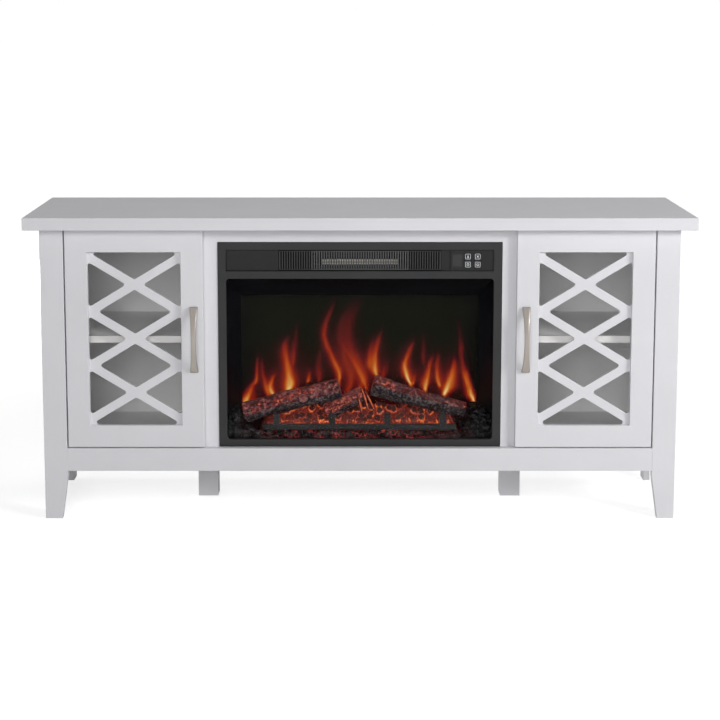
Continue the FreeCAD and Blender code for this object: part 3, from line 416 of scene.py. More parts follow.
# flame picture: the colour attribute is the light, on smoked acrylic
def flameLight(name, smoke):
    r = Recipe(name)
    r.set(Base_Color=r.ramp(r.noise(30.0), (0.3, smoke), (0.7, shaded(smoke, 1.3))),
          Roughness=r.spread(r.noise(50.0), 0.35, 0.5), Specular_IOR_Level=0.03,
          Emission_Color=r.attribute("fireLight", "Color"), Emission_Strength=1.0)
    return r.material


# print: plain pale ink with a little unevenness, which also gives off light, a painted glow that brightens it
def printWithPaintedGlow(name, colour, light):
    r = Recipe(name)
    r.set(Base_Color=r.ramp(r.noise(400.0), (0.3, shaded(colour, 0.9)), (0.7, colour)),
          Roughness=0.5, Emission_Color=(*colour, 1), Emission_Strength=light)
    return r.material


def both(*names):
    return [f"{side}_{name}" for name in names for side in ("left", "right")]


# Finishes and the nodes that wear them. Metal gives its scratch stretch and roughness range;
# coats and plastics give roughness range, grains per metre, bump depth and sheen.
cabinetWhite = (0.79, 0.785, 0.815)
stripLow, stripHigh = boxOf("heater_grille")
strip = {"front": stripLow[1] + 0.2, "middle": (stripLow[2] + stripHigh[2]) / 2,
         "tall": stripHigh[2] - stripLow[2], "half": stripHigh[0],
         "mouth": 107.0, "step": 199.4, "groove": 1.4, "rim": 3.2}
nickel = brushedMetal("satinNickel", (0.37, 0.338, 0.305), (1.0, 1.0, 0.03), 0.3, 0.42)
zinc = brushedMetal("zincPlate", (0.62, 0.63, 0.66), (0.2, 1.0, 1.0), 0.25, 0.42)
coat = pebbled("caseCoat", (0.02, 0.02, 0.021), 0.45, 0.65, 500.0, 0.0001, 0.4)
# grille slats: front colour, a lighter painted highlight over the mouth, and black for the painted shade
slats = slattedPlastic("grillePlastic", (0.06, 0.06, 0.062), (0.13,) * 3, (0.003,) * 3, strip)
finishes = {
    satinPaint("boardPaint", cabinetWhite): [
        "top_panel", "front_apron", "header_rail",
        *both("side_panel", "front_post", "filler_strip", "middle_leg")],
    satinPaint("doorPaint", cabinetWhite, 0.00005): both("door_frame", "door_lattice"),
    # inside boards, shelves and backs: paler whites of their own, and also paler as painted light that lifts
    # the dim inside of the bays
    satinPaint("innerPaint", (0.94, 0.935, 0.935)): ["bottom_panel", *both("divider")],
    satinPaint("shelfPaint", (0.93, 0.92, 0.905)): both("shelf"),
    laminate("backLaminate", (0.95, 0.945, 0.945)): both("back_panel"),
    zinc: ["shelf_pins", *both("hinge_cups", "hinge_pins", "hinge_arms")],
    brushedMetal("bareAluminium", (0.78, 0.78, 0.79), (0.05, 1.0, 1.0), 0.3, 0.45): ["flicker_rotor"],
    pebbled("bezelCoat", (0.013, 0.013, 0.0138), 0.36, 0.48, 700.0, 0.00003, 0.38): ["insert_bezel"],
    coat: ["insert_case", "rear_cover"],
    pebbled("hoodBlack", (0.0014, 0.0014, 0.0022), 0.45, 0.6, 500.0, 0.00006, 0.04): ["firebox_liner"],
    slats: ["heater_grille"],
    stripPlastic("fasciaPlastic", (0.014, 0.014, 0.0145), 0.36, 0.48, 900.0, 0.00002, 0.22, strip): [
        "blank_panel", "control_panel"],
    pebbled("keyPlastic", (0.008, 0.008, 0.009), 0.22, 0.34, 900.0, 0.00002, 0.3): [
        "flame_button", "heat_button", "timer_button", "power_button"],
    pebbled("displayLens", (0.014, 0.014, 0.015), 0.12, 0.18, 200.0, 0.00001, 0.34): ["display_window"],
    clearPane("fireGlass"): ["window_glass"],
    pebbled("castIron", (0.0092, 0.0088, 0.0088), 0.5, 0.7, 350.0, 0.0001, 0.15): ["grate"],
    pebbled("heaterSteel", (0.012,) * 3, 0.5, 0.7, 300.0, 0.0001, 0.2): [
        "heater_element", "blower_wheel", "blower_motor", "flicker_motor"],
    pebbled("softRubber", (0.03,) * 3, 0.7, 0.9, 600.0, 0.00008, 0.3): ["door_bumpers", "cord_gland"],
    circuitBoard("circuitGreen"): ["control_board", "led_board"],
}
for material, names in finishes.items():
    for name in names:
        nodes[name].material_slots[0].material = material
print("finishes given to", sum(map(len, finishes.values())), "pieces")

# Bow handles: a rounded strip that flares to its ends, carried along a bow between two feet.
bow = {"rows": 97, "around": 28, "thick": 5.2, "endWide": 19.4, "waistWide": 10.6,
       "flare": 2.2, "round": 3.2, "bow": 2.3, "spacing": 1.06,
       "tipFrom": 0.95, "tipLong": 0.051, "tipLeast": 0.6}


# superellipse outline in two half widths; a higher power is squarer
def roundedSection(halfWide, halfThick, power, count):
    a = np.arange(count) * 2 * np.pi / count
    spoke = np.stack([np.cos(a), np.sin(a)], -1)
    return np.array([halfWide, halfThick]) * np.sign(spoke) * np.abs(spoke) ** (2 / power)


# path: upright, set back from its crown by a power of the way t from the middle to an end
def makeHandle(side):
    low, high = boxOf(f"{side}_door_handle")
    middle, half, reach = (low + high) / 2, (high[2] - low[2]) / 2, high[1] - low[1]
    thick, waist, least = bow["thick"], bow["waistWide"], bow["tipLeast"]
    t = np.linspace(-1, 1, bow["rows"])
    away = np.abs(t)
    depth = high[1] - thick * 0.5 - (reach - thick) * (1 - away ** bow["bow"])
    tall = middle[2] + half * np.sign(t) * (1 - (1 - away) ** bow["spacing"])
    path = np.stack([np.full_like(t, middle[0]), depth, tall], -1)
    across = np.tile([1.0, 0, 0], (len(t), 1))
    outward = np.cross(unit(np.gradient(path, axis=0)), across)
    wide = waist + (bow["endWide"] - waist) * away ** bow["flare"]
    tip = np.clip((away - bow["tipFrom"]) / bow["tipLong"], 0, 1)
    ends = roundOver(tip) * (1 - least) + least
    section = roundedSection(0.5, 0.5, bow["round"], bow["around"])
    grid = carried(path, across * (wide * ends)[:, None], outward * (thick * ends)[:, None], section)
    grid[..., 1] = np.minimum(grid[..., 1], high[1])
    grid[..., 2] = np.clip(grid[..., 2], low[2], high[2])
    makePiece(f"{side}_bow_handle", closedTube(grid), nickel,
              [f"{side}_door_handle"], f"{side}_door")


for side in ("left", "right"):
    makeHandle(side)
print("handles made")

# Pan-head screws: a dome of revolution, dented by a cross in its middle.
screw = {"rings": 14, "around": 32, "crossWide": 0.16, "crossLong": 0.55, "crossDeep": 0.45,
         "rim": 0.35, "domeWide": 0.97, "heart": 0.04}
screwPlaces = {
    "hinge": {"radius": 4.0, "height": 2.2, "spread": 15.0, "inward": 9.0, "plate": 2.5, "ends": 22.0},
    "handle": {"radius": 4.2, "height": 2.0, "spread": 67.0},
    "cover": {"radius": 3.6, "height": 2.0, "edge": 6.0, "across": 5},
}


# height over the disc: a quarter-ellipse dome less the cross-shaped dent
def screwShell(centre, radius, height):
    wide, long, rim = screw["crossWide"], screw["crossLong"], screw["rim"]
    r = np.concatenate([[1.0], np.linspace(1, screw["heart"], screw["rings"])])[:, None]
    a = (np.arange(screw["around"]) * 2 * np.pi / screw["around"])[None, :]
    x, y = r * np.cos(a), r * np.sin(a)
    arm = np.minimum(np.abs(x), np.abs(y))
    dent = ease(wide * 1.2, wide * 0.6, arm) * ease(long, long * 0.85, np.hypot(x, y))
    z = rim + (1 - rim) * roundOver(screw["domeWide"] * r) - screw["crossDeep"] * dent
    z[0] = 0
    return closedTube(np.array(centre) + np.stack([radius * x, height * z, -radius * y], -1))


def makeScrews(name, spots, centres, body="cabinet"):
    heads = [screwShell(centre, spots["radius"], spots["height"]) for centre in centres]
    makePiece(name, joinShells(heads), zinc, body=body)


for side, sign in (("left", -1), ("right", 1)):
    spots = screwPlaces["hinge"]
    low, high = boxOf(f"{side}_hinge_arms")
    plateX = sign * (max(abs(low[0]), abs(high[0])) - spots["inward"])
    plateY = boxOf(f"{side}_front_post")[1][1] + spots["plate"]
    makeScrews(f"{side}_hinge_screws", spots, [
        (plateX, plateY, z + dz) for z in (low[2] + spots["ends"], high[2] - spots["ends"])
        for dz in (-spots["spread"], spots["spread"])])
    spots = screwPlaces["handle"]
    low, high = boxOf(f"{side}_door_handle")
    middle = (low + high) / 2
    doorBack = boxOf(f"{side}_door_frame")[1][1]
    makeScrews(f"{side}_handle_screws", spots, [
        (middle[0], doorBack, middle[2] + dz) for dz in (-spots["spread"], spots["spread"])],
        f"{side}_door")
spots = screwPlaces["cover"]
low, high = boxOf("rear_cover")
coverX = np.linspace(low[0] + spots["edge"], high[0] - spots["edge"], spots["across"])
makeScrews("rear_cover_screws", spots, [
    (x, high[1], z) for x in coverX for z in (low[2] + spots["edge"], high[2] - spots["edge"])])
print("screws made")

# Flame picture: tongues of light on the screen, each along a smooth line from base to tip.
# A tongue is its line's points (x, z), half width, heat, and lean of its bright side.
# A waver is strength, size across and up, seed and octaves of the noise that bends them.
flames = {
    "step": 1.7, "smoke": (0.0014, 0.0014, 0.0008), "edgeFade": 6.0, "most": 0.97,
    "veil": (0.0012, 0.0013, 0.0), "veilEdge": 70.0, "veilTop": 26.0,
    "halo": 0.15, "haloUp": 12.0, "haloWide": 2.4, "haze": 0.085, "hazeFade": (400.0, 250.0),
    "wavers": [(9.0, 34, 46, 3, 4), (3.2, 9, 26, 11, 3)],
    "tongues": [
        ([(-268, 220), (-253, 258), (-226, 304)], 20, 1.0, 0.15),
        ([(-238, 285), (-234, 320), (-233, 352)], 6, 0.5, 0),
        ([(-246, 226), (-236, 264)], 10, 0.42, 0),
        ([(-195, 250), (-206, 272), (-199, 295), (-186, 312)], 12, 0.9, 0.2),
        ([(-208, 246), (-219, 280), (-220, 350)], 9, 0.44, 0),
        ([(-166, 256), (-160, 290), (-167, 330), (-158, 400)], 22, 0.95, 0.1),
        ([(-152, 330), (-149, 372), (-140, 425)], 9, 0.24, 0),
        ([(-118, 284), (-112, 312)], 8, 0.6, 0),
        ([(-92, 288), (-90, 372)], 13, 0.22, 0),
        ([(-47, 288), (-55, 330), (-78, 384), (-72, 432), (-52, 488)], 13, 0.58, 0.2),
        ([(-28, 266), (-36, 350), (-44, 400), (-30, 444), (0, 486)], 22, 0.27, 0),
        ([(-2, 266), (-14, 350), (-26, 400), (-16, 444), (6, 492)], 25, 0.3, 0),
        ([(15, 270), (-4, 312), (-28, 354), (-48, 384)], 9, 0.4, -0.3),
        ([(38, 300), (33, 332), (40, 370), (54, 410)], 16, 0.76, 0.2),
        ([(22, 320), (22, 350), (34, 392)], 8, 0.32, 0),
        ([(52, 296), (62, 330)], 13, 0.3, 0),
        ([(118, 280), (103, 318), (110, 350), (128, 390)], 14, 0.95, -0.1),
        ([(124, 280), (128, 306)], 8, 0.4, 0),
        ([(152, 266), (158, 305), (170, 352)], 13, 0.84, 0.2),
        ([(184, 276), (178, 322), (184, 360)], 9, 0.62, -0.2),
        ([(197, 256), (209, 292), (218, 350)], 20, 1.0, -0.2),
        ([(262, 240), (249, 284), (248, 324)], 14, 1.0, 0.15),
        ([(246, 282), (237, 335), (239, 390)], 9, 0.42, 0),
        ([(231, 350), (228, 410), (218, 440)], 6, 0.16, 0),
        ([(146, 330), (147, 405)], 9, 0.16, 0),
    ],
    "heat": (0.0, 0.08, 0.2, 0.38, 0.6, 0.8, 1.0),
    "red": (0.0, 0.034, 0.12, 0.29, 0.46, 0.58, 0.76),
    "green": (0.0, 0.0016, 0.005, 0.020, 0.09, 0.28, 0.56),
    "blue": (0.0, 0.0035, 0.0055, 0.003, 0.008, 0.055, 0.24),
}


# brightness of one tongue: a broad bell and a narrow core across a line that narrows to its tip
def tongueLight(x, z, line, wide, heat, lean):
    px, pz = np.array(line, float).T
    bend = np.polyfit(pz, px, len(line) - 1)
    t = (z - pz[0]) / (pz[-1] - pz[0])
    s = np.clip(t, 0, 1)
    middle = np.polyval(bend, np.clip(z, pz[0], pz[-1]))
    half = wide * (0.42 + 0.58 * ease(-0.05, 0.22, s)) * (1 - s) ** 0.75 + 0.8
    across = (x - middle) / half
    across = across * (1 + lean * np.tanh(across * 2))
    broad = np.exp(-np.abs(across) ** 2.5 * 1.15)
    core = bell(across, 0.42) * (1 - s) ** 1.4
    fade = ease(-0.13, 0.03, t) * ease(1.0, 0.72, t) * (0.5 + 0.5 * (1 - s) ** 0.8)
    return heat * fade * (0.44 * broad + 0.86 * core)


# light: what is left of 1 after each tongue and its halo has taken its share of the dark
def flameColours(x, z, side, top):
    warped = x + sum(strength * (layered(x / wide, z / tall, seed, octaves) - 0.5)
                     for strength, wide, tall, seed, octaves in flames["wavers"])
    streak = 0.84 + 0.3 * (layered(warped / 7, z / 40, 21, 3) - 0.5)
    rim = ease(0, flames["veilEdge"], side - np.abs(x))
    up, spread = flames["haloUp"], flames["haloWide"]
    dark = np.ones_like(x)
    for line, wide, heat, lean in flames["tongues"]:
        tongue = tongueLight(warped, z, line, wide, heat, lean) * streak
        halo = np.clip(tongueLight(x, z - up, line, wide * spread, heat, 0), 0, 1)
        dark = dark * (1 - np.clip(tongue, 0, flames["most"]))
        dark = dark * (1 - flames["halo"] * rim * halo)
    haze = flames["haze"] * ease(*flames["hazeFade"], z) * layered(x / 30, z / 60, 31)
    inside = ease(0, flames["edgeFade"], side - np.abs(x))
    light = (1 - dark * (1 - haze * rim)) * inside
    veil = rim * ease(0, flames["veilTop"], top - z)
    lit = [np.interp(light, flames["heat"], flames[key]) + level * veil
           for key, level in zip(("red", "green", "blue"), flames["veil"])]
    return np.stack([*lit, np.ones_like(x)], -1)


low, high = boxOf("flame_screen")
columns, rows = ((high - low)[[0, 2]] / flames["step"]).astype(int)
z, x = evenGrid((low[2], high[2], rows), (low[0], high[0], columns))
points, faces = backedSheet(np.stack([x, np.full_like(x, low[1]), z], -1), 1, high[1])
colours = flameColours(x, z, high[0], high[2]).reshape(-1, 4)
colours = np.concatenate([colours, np.tile([0, 0, 0, 1.0], (len(points) - len(colours), 1))])
makePiece("flame_picture", (points, faces), flameLight("flameGlow", flames["smoke"]),
          ["flame_screen"], smooth=False, values={"fireLight": colours})
print("flame picture drawn")

# Logs: a tapered, gently crooked bar with split bark, knots and sawn ends.
# A flat is its facing and depth; a knot is its place along, facing, size and height.
# Swell, warp, split, fine, grit and patch are noises, each its length and its cells once round.
bark = {"rows": 190, "around": 170, "crackDeep": 2.4, "pebble": 1.8, "lumps": 2.6, "grain": 1.6,
        "cell": 4.2, "cells": 36, "gap": 0.26, "flatWide": 0.6, "wearFrom": 0.955, "wear": 0.35,
        "endRings": 14, "heart": 0.06, "yearRings": 26, "ringDeep": 0.5, "swell": (45, 4),
        "warp": (30, 8), "split": (26, 16), "fine": (9, 24), "grit": (4, 38), "patch": (26, 5)}
logSkin = glowingResin("charredLog", dark=(0.004, 0.004, 0.0055), pale=(0.06, 0.049, 0.049),
                       red=(0.30, 0.024, 0.014), orange=(0.95, 0.22, 0.035), grain=330.0, gloss=(0.4, 0.7))
fireLogs = {
    "left": {"foot": (-262, -86, 221.5), "tip": (-45, -86, 281.5), "radii": (25.5, 24.5), "crook": 3.0,
             "seed": 41, "flats": [(-75, 0.12)], "knots": [(0.625, 8, 10.0, 4.5)],
             "glow": 0.85, "lit": 0.0},
    "right": {"foot": (240, -86, 231.7), "tip": (29, -86, 286.3), "radii": (18.5, 24.5), "crook": -2.0,
              "seed": 57, "flats": [(66, 0.2), (-34, 0.2)], "knots": [], "glow": 0.85, "lit": 0.35},
    "middle": {"foot": (-74, -88, 223.5), "tip": (8, -88, 271.0), "radii": (20.5, 18.0), "crook": 2.0,
               "seed": 73, "flats": [(58, 0.22), (-38, 0.16)], "knots": [], "glow": 1.15, "lit": -0.3},
}


# noise that meets itself once round the log
def roundNoise(run, turn, kind, seed, octaves):
    long, cells = bark[kind]
    return layered(run / long, turn * cells, seed, octaves, cells)


# angle from a facing in degrees, the shorter way round
def turnedFrom(angle, facing):
    return np.angle(np.exp(1j * (angle - math.radians(facing))))


# sawn end: rings of the edge that shrink to its heart, with year rings pressed in as a cosine
def sawnEnd(edge, outwards):
    heart, count = edge.mean(0), bark["endRings"]
    shrink = np.linspace(1, bark["heart"], count)[1:, None, None]
    rings = bark["ringDeep"] * np.cos(np.linspace(0, 1, count)[1:] * bark["yearRings"])
    return heart + (edge - heart)[None] * shrink + outwards * rings[:, None, None]


# bark: cracks are thin ridges of noise drawn out along the log, and gaps the seams of round cells
def makeLog(name, spec):
    foot, tip = np.array([spec["foot"], spec["tip"]], float)
    axis = tip - foot
    length = np.linalg.norm(axis)
    axis /= length
    front = np.array([0, -1.0, 0])
    upward = np.cross(front, axis) * (1 if axis[0] > 0 else -1)
    s = np.linspace(0, 1, bark["rows"])[:, None]
    angle = np.arange(bark["around"])[None, :] / bark["around"] * 2 * np.pi
    turn = angle / (2 * np.pi)
    run = s * length
    seed, cells = spec["seed"], bark["cells"]
    first, last = spec["radii"]
    radius = first + (last - first) * s + 0 * turn
    radius = radius + 2 * bark["lumps"] * (roundNoise(run, turn, "swell", seed, 2) - 0.5)
    for facing, depth in spec["flats"]:
        radius = radius * (1 - depth * bell(turnedFrom(angle, facing), bark["flatWide"]))
    warp = 0.6 * (roundNoise(run, turn, "warp", seed + 5, 3) - 0.5)
    long, around = bark["split"]
    ridge = 1 - np.abs(2 * softNoise(run / long, turn * around + warp, seed + 9, around) - 1)
    crack = ease(0.8, 0.98, ridge)
    near, second, tint = lumpNoise(run / bark["cell"], turn * cells, seed + 15, period=cells)
    gap = ease(bark["gap"], 0.0, second - near)
    fine = roundNoise(run, turn, "fine", seed + 19, 3)
    grit = roundNoise(run, turn, "grit", seed + 27, 2) - 0.5
    radius = radius - bark["crackDeep"] * crack - bark["pebble"] * gap
    radius = radius + bark["grain"] * (fine - 0.5)
    disc, rim, moat = (np.zeros_like(radius) for k in range(3))
    # a knot is a short sawn stub: a raised disc with a raised rim, and a moat round it; the rim is painted
    # paler, a painted highlight, and the moat darker, painted shade
    for at, facing, size, height in spec["knots"]:
        off = np.hypot((s - at) * length, turnedFrom(angle, facing) * first) / size
        disc = ease(1.0, 0.85, off)
        rim = bell(off - 0.84, 0.1)
        moat = bell(off - 1.18, 0.12)
        radius = radius + height * disc + 1.0 * rim - 1.6 * moat
        crack, gap = np.maximum(crack * (1 - disc), moat), gap * (1 - disc)
    worn = np.clip((np.abs(2 * s - 1) - bark["wearFrom"]) / 0.05, 0, 1)
    radius = radius * np.sqrt(1 - worn ** 2 * bark["wear"])
    crook = spec["crook"] * np.sin(np.pi * s * 1.4)
    centre = foot + axis * run[..., None] + front * (0.4 * crook)[..., None] + upward * crook[..., None]
    grid = centre + radius[..., None] * (np.cos(angle)[..., None] * front + np.sin(angle)[..., None] * upward)
    # glow: out of gaps and cracks, in patches, most on the upper side, and on the knot's face; the extra glow
    # on the upper side is painted light from the flames
    # painted light: the upper side glows more, as if lit by the flames, and each log's lit value turns this
    # round it
    above = ease(spec["lit"] - 0.35, spec["lit"] + 0.35, np.sin(angle))
    patch = roundNoise(run, turn, "patch", seed + 23, 3)
    glow = spec["glow"] * (0.1 + 0.75 * gap * (0.3 + 0.7 * fine) + 0.3 * crack) * (0.05 + 0.95 * above)
    glow = glow * (0.3 + 1.3 * patch) * np.clip(1 + 2.4 * grit, 0.1, 2) * (1 - disc) * (1 - moat)
    glow = glow + 0.9 * disc * (1 - rim) * fine
    # tone: random tints, darker in the cracks and gaps, paler on the knot's rim as a painted highlight, and
    # darker in its moat as painted shade
    tone = 0.4 + 0.75 * (tint - 0.5) + 0.8 * (fine - 0.5) + 1.5 * grit
    tone = np.clip(tone - 0.4 * crack - 0.45 * gap + 1.2 * rim - 0.6 * moat, 0, 1)
    whole = np.concatenate([sawnEnd(grid[0], -axis)[::-1], grid, sawnEnd(grid[-1], axis)])
    extra = ((bark["endRings"] - 1,) * 2, (0, 0))
    glow, tone = (np.append(np.pad(value, extra, constant_values=sawn), [heart, heart])
                  for value, sawn, heart in ((glow, 0.2 * spec["glow"], 0.1), (tone, 0.4, 0.3)))
    makePiece(f"{name}_charred_log", closedTube(whole), logSkin, [f"{name}_log"],
              values={"glow": np.clip(glow, 0, 1), "tone": tone})


for name, spec in fireLogs.items():
    makeLog(name, spec)

# Kindling: thin split sticks between the logs, each its top, bottom and radius.
kindling = {"rows": 40, "around": 14, "tone": 0.1, "endGlow": 0.2,
            "sticks": [((3, -100, 284), (18, -105, 236), 3.4), ((12, -98, 276), (33, -104, 232), 3.0),
                       ((-6, -102, 272), (4, -106, 228), 2.8)]}


# a stick: rounded triangle, tapered at both ends and lit along one edge
def stickShell(top, bottom, radius):
    s = np.linspace(0, 1, kindling["rows"])[:, None]
    a = np.arange(kindling["around"])[None, :] / kindling["around"] * 2 * np.pi
    top, bottom = np.array([top, bottom], float)
    path = top + (bottom - top) * s[..., None]
    taper = 0.35 + 0.65 * np.sin(np.pi * (s * 0.8 + 0.1)) ** 0.6
    size = radius * taper * (1 + 0.18 * np.cos(3 * a))
    size = size * (0.85 + 0.3 * layered(s * 9, a * 3 / np.pi, 7, 3, 6))
    grid = path + size[..., None] * np.stack([np.cos(a), np.sin(a), 0 * a], -1)
    glow = 0.1 + 1.15 * bell(np.cos(a) - 0.75, 0.22) * (0.6 + 0.4 * np.sin(s * 3))
    return closedTube(grid), np.append(glow, [kindling["endGlow"]] * 2)


sticks, glows = zip(*(stickShell(*stick) for stick in kindling["sticks"]))
glow = np.concatenate(glows)
makePiece("split_kindling", joinShells(sticks), logSkin,
          values={"glow": glow, "tone": np.full_like(glow, kindling["tone"])})
print("logs made")

# Ember bed: a slope of round coals; light shows in the gaps between them.
# Wave, bend and rough are noises: strength, size, seed and octaves.
embers = {"step": 1.25, "coal": 18.5, "small": 6.0, "rise": 6.0, "skirt": 8, "endFade": 26.0,
          "lip": 2.0, "frontTop": 204.5, "backTop": 236.0, "sunk": 0.2,
          "wave": (5, 38, 5), "bend": (7, 11, 23, 3), "rough": (1.2, 6, 51, 2)}
emberSkin = glowingResin("emberGlow", dark=(0.004, 0.003, 0.003), pale=(0.03, 0.014, 0.012),
                         red=(0.26, 0.02, 0.011), orange=(0.9, 0.23, 0.032), grain=330.0, gloss=(0.45, 0.7))


# height: the slope from front to back, plus a dome on each coal, less the seams of small ones;
# glow: a line round each dome, the seams and the front edge, in patches
def emberSlope(x, y, low, high, inward):
    coal, small = embers["coal"], embers["small"]
    rise = (embers["backTop"] - embers["frontTop"]) * (y - low[1]) / (high[1] - low[1])
    bend = sway(x, y, *embers["bend"])
    near, second, tint = lumpNoise((x + bend) / coal, (y - bend) / coal * 0.8, 17, 0.95)
    dome = roundOver(near / 0.5)
    fineNear, fineSecond, fineTint = lumpNoise(x / small, y / small, 29)
    fine = ease(0.35, 0.0, fineSecond - fineNear)
    tall = embers["frontTop"] + rise - low[2] + sway(x, y, *embers["wave"])
    tall = tall + embers["rise"] * dome * (0.4 + 0.8 * tint) - 0.9 * fine
    line = bell(near - 0.42, 0.05)
    seam = ease(0.10, 0.0, second - near)
    edge = bell(y - low[1] - 5, 3.5)
    glow = 0.15 + 0.88 * line * (0.5 + 0.5 * tint) + 0.25 * seam + 0.12 * fine * fineTint
    glow = (glow - 0.2 * dome + 0.34 * edge) * (0.6 + 0.8 * layered(x / 24, y / 24, 43)) * inward
    tone = np.clip(0.3 + 0.3 * dome + 0.4 * fineTint, 0, 1)
    return low[2] + tall * (0.35 + 0.65 * inward), np.clip(glow, 0.02, 1), tone


low, high = boxOf("ember_bed")
columns, rows = ((high - low)[:2] / embers["step"]).astype(int)
y, x = evenGrid((low[1] + embers["lip"], high[1], rows), (low[0], high[0], columns))
inward = ease(0, embers["endFade"], high[0] - np.abs(x))
z, glow, tone = emberSlope(x, y, low, high, inward)
# the skirt drops from the front row to the floor of the bed, a little rough in its middle
drop = np.linspace(0, 1, embers["skirt"])[:-1][:, None]
frontX = x[:1].repeat(len(drop), 0)
frontZ = low[2] + (z[:1] - low[2]) * drop
rough = sway(frontX, frontZ, *embers["rough"]) * np.sin(np.pi * drop)
frontY = np.maximum(low[1] + embers["lip"] * drop ** 3 + rough, low[1])
frontGlow = (0.12 + 0.5 * drop ** 4) * inward[:1] * (0.7 + 0.4 * layered(frontX / 9, frontZ / 9, 61))
grid = np.concatenate([np.stack([frontX, frontY, frontZ], -1), np.stack([x, y, z], -1)])
points, faces = backedSheet(grid, 2, low[2] - embers["sunk"])
makePiece("glowing_embers", (points, faces), emberSkin, ["ember_bed"],
          values=backedValues(points, glow=np.concatenate([frontGlow, glow]),
                              tone=np.concatenate([np.full_like(frontZ, 0.3), tone])))
print("embers made")

# Coal bed: a front ridge and two side banks of broken coal round the embers.
# Ridge and bank are profiles (y, z) from the front foot to the back. The banks rise in two
# steps, each its start on the left and right and its width.
coals = {
    "across": 460, "along": 130, "lump": 9.0, "small": 4.2, "rise": 5.0, "smallRise": 1.7,
    "draw": 28.0, "inset": 0.2,
    "banks": [(229, 221, 12), (258, 246, 24)], "ragged": (10, 14, 71, 1),
    "ridge": [(-134, 163.2), (-133, 185), (-130.5, 190), (-126, 191), (-122.5, 186), (-120, 178),
              (-100, 177), (-37.2, 177)],
    "bank": [(-134, 163.2), (-132.5, 195), (-127, 214), (-117, 226), (-104, 232), (-85, 235),
             (-60, 235), (-37.2, 234)],
}
coalSkin = glowingResin("blackCoal", dark=(0.001, 0.001, 0.0012), pale=(0.013, 0.013, 0.0135),
                        red=(0.24, 0.016, 0.014), orange=(0.7, 0.1, 0.03), grain=420.0,
                        gloss=(0.2, 0.42), sheen=0.06)


# a profile of listed points, walked at even steps
def walkedProfile(line, count):
    line = np.array(line, float)
    walked = np.concatenate([[0], np.cumsum(np.hypot(*np.diff(line, axis=0).T))])
    at = np.linspace(0, walked[-1], count)
    return np.stack([np.interp(at, walked, line[:, 0]), np.interp(at, walked, line[:, 1])], -1)


# the sheet mixes ridge and bank profiles across the width; lumps stand off it along its normal
def coalSheet(low, high):
    count, lump, small = coals["along"], coals["lump"], coals["small"]
    x = np.linspace(low[0] + coals["inset"], high[0] - coals["inset"], coals["across"])
    x = x[None, :] + np.zeros((count, 1))
    reach = np.abs(x) + sway(x, 0 * x, *coals["ragged"])
    bank = sum(ease(0, wide, reach - np.where(x < 0, left, right))
               for left, right, wide in coals["banks"]) / 2
    ridgeLine, bankLine = (walkedProfile(coals[key], count)[:, None] for key in ("ridge", "bank"))
    y, z = np.moveaxis(ridgeLine * (1 - bank[..., None]) + bankLine * bank[..., None], -1, 0)
    back = (y - low[1]) / (high[1] - low[1])
    sheet = np.stack([x * (1 - coals["draw"] * back / high[0]), y, z], -1)
    alongStep, acrossStep = np.gradient(sheet, axis=0), np.gradient(sheet, axis=1)
    outward = unit(np.cross(acrossStep, alongStep))
    walked = np.cumsum(np.linalg.norm(alongStep, axis=2), axis=0)
    x = sheet[..., 0]
    near, second, tint = lumpNoise(x / lump, walked / lump, 77, 0.95)
    fineNear, fineSecond, fineTint = lumpNoise(x / small, walked / small, 83)
    dome, fine = roundOver(near / 0.7), roundOver(fineNear / 0.72)
    seen = np.maximum(bank, ease(low[1] + 16, low[1] + 13, y))
    ends = ease(0, 0.03, np.linspace(0, 1, count))[:, None]
    stand = coals["rise"] * dome * (0.25 + 0.75 * tint) + coals["smallRise"] * fine * fineTint
    sheet = np.clip(sheet + outward * (stand * seen * ends)[..., None], low + 0.05, high - 0.05)
    # glow: in the seams of the ridge, in patches and most in the middle
    x = sheet[..., 0]
    seam = ease(0.2, 0.0, second - near) * (1 - bank) * seen
    patch = ease(0.28, 0.62, layered(x / 18, walked / 18, 91))
    glow = 0.8 * seam * patch * (0.25 + 0.75 * ease(225, 140, np.abs(x)))
    # tone: paler on the tops of the lumps, a painted highlight, and paler on the front ridge than on the
    # banks
    tone = 1.7 * dome * tint * fine + 0.35 * fineTint * fine - 0.52 + 0.24 * (1 - bank)
    return sheet, glow, np.clip(tone, 0, 1)


low, high = boxOf("coal_bed")
sheet, glow, tone = coalSheet(low, high)
points, faces = backedSheet(sheet, 2, low[2])
makePiece("broken_coal", (points, faces), coalSkin, ["coal_bed"],
          values=backedValues(points, glow=glow, tone=tone))
print("coal made")

# Vent screens: woven wire behind the slots of the rear cover, as waves over and under both ways.
vents = {"half": 119.0, "bands": ((216.0, 287.0), (490.0, 562.0)), "pitch": 3.0, "step": 0.75,
         "deep": 0.35, "behind": 0.7, "gap": 0.05}
coverFront = boxOf("rear_cover")[0][1]
half, wires = vents["half"], 2 * np.pi / vents["pitch"]
screens = []
for bottom, top in vents["bands"]:
    columns, rows = (int(size / vents["step"]) for size in (2 * half, top - bottom))
    z, x = evenGrid((bottom, top, rows), (-half, half, columns))
    weave = coverFront - vents["behind"] + vents["deep"] * np.sin(wires * x) * np.sin(wires * z)
    screens.append(backedSheet(np.stack([x, weave, z], -1), 1, coverFront - vents["gap"]))
makePiece("vent_screens", joinShells(screens), coat)
print("vent screens made")

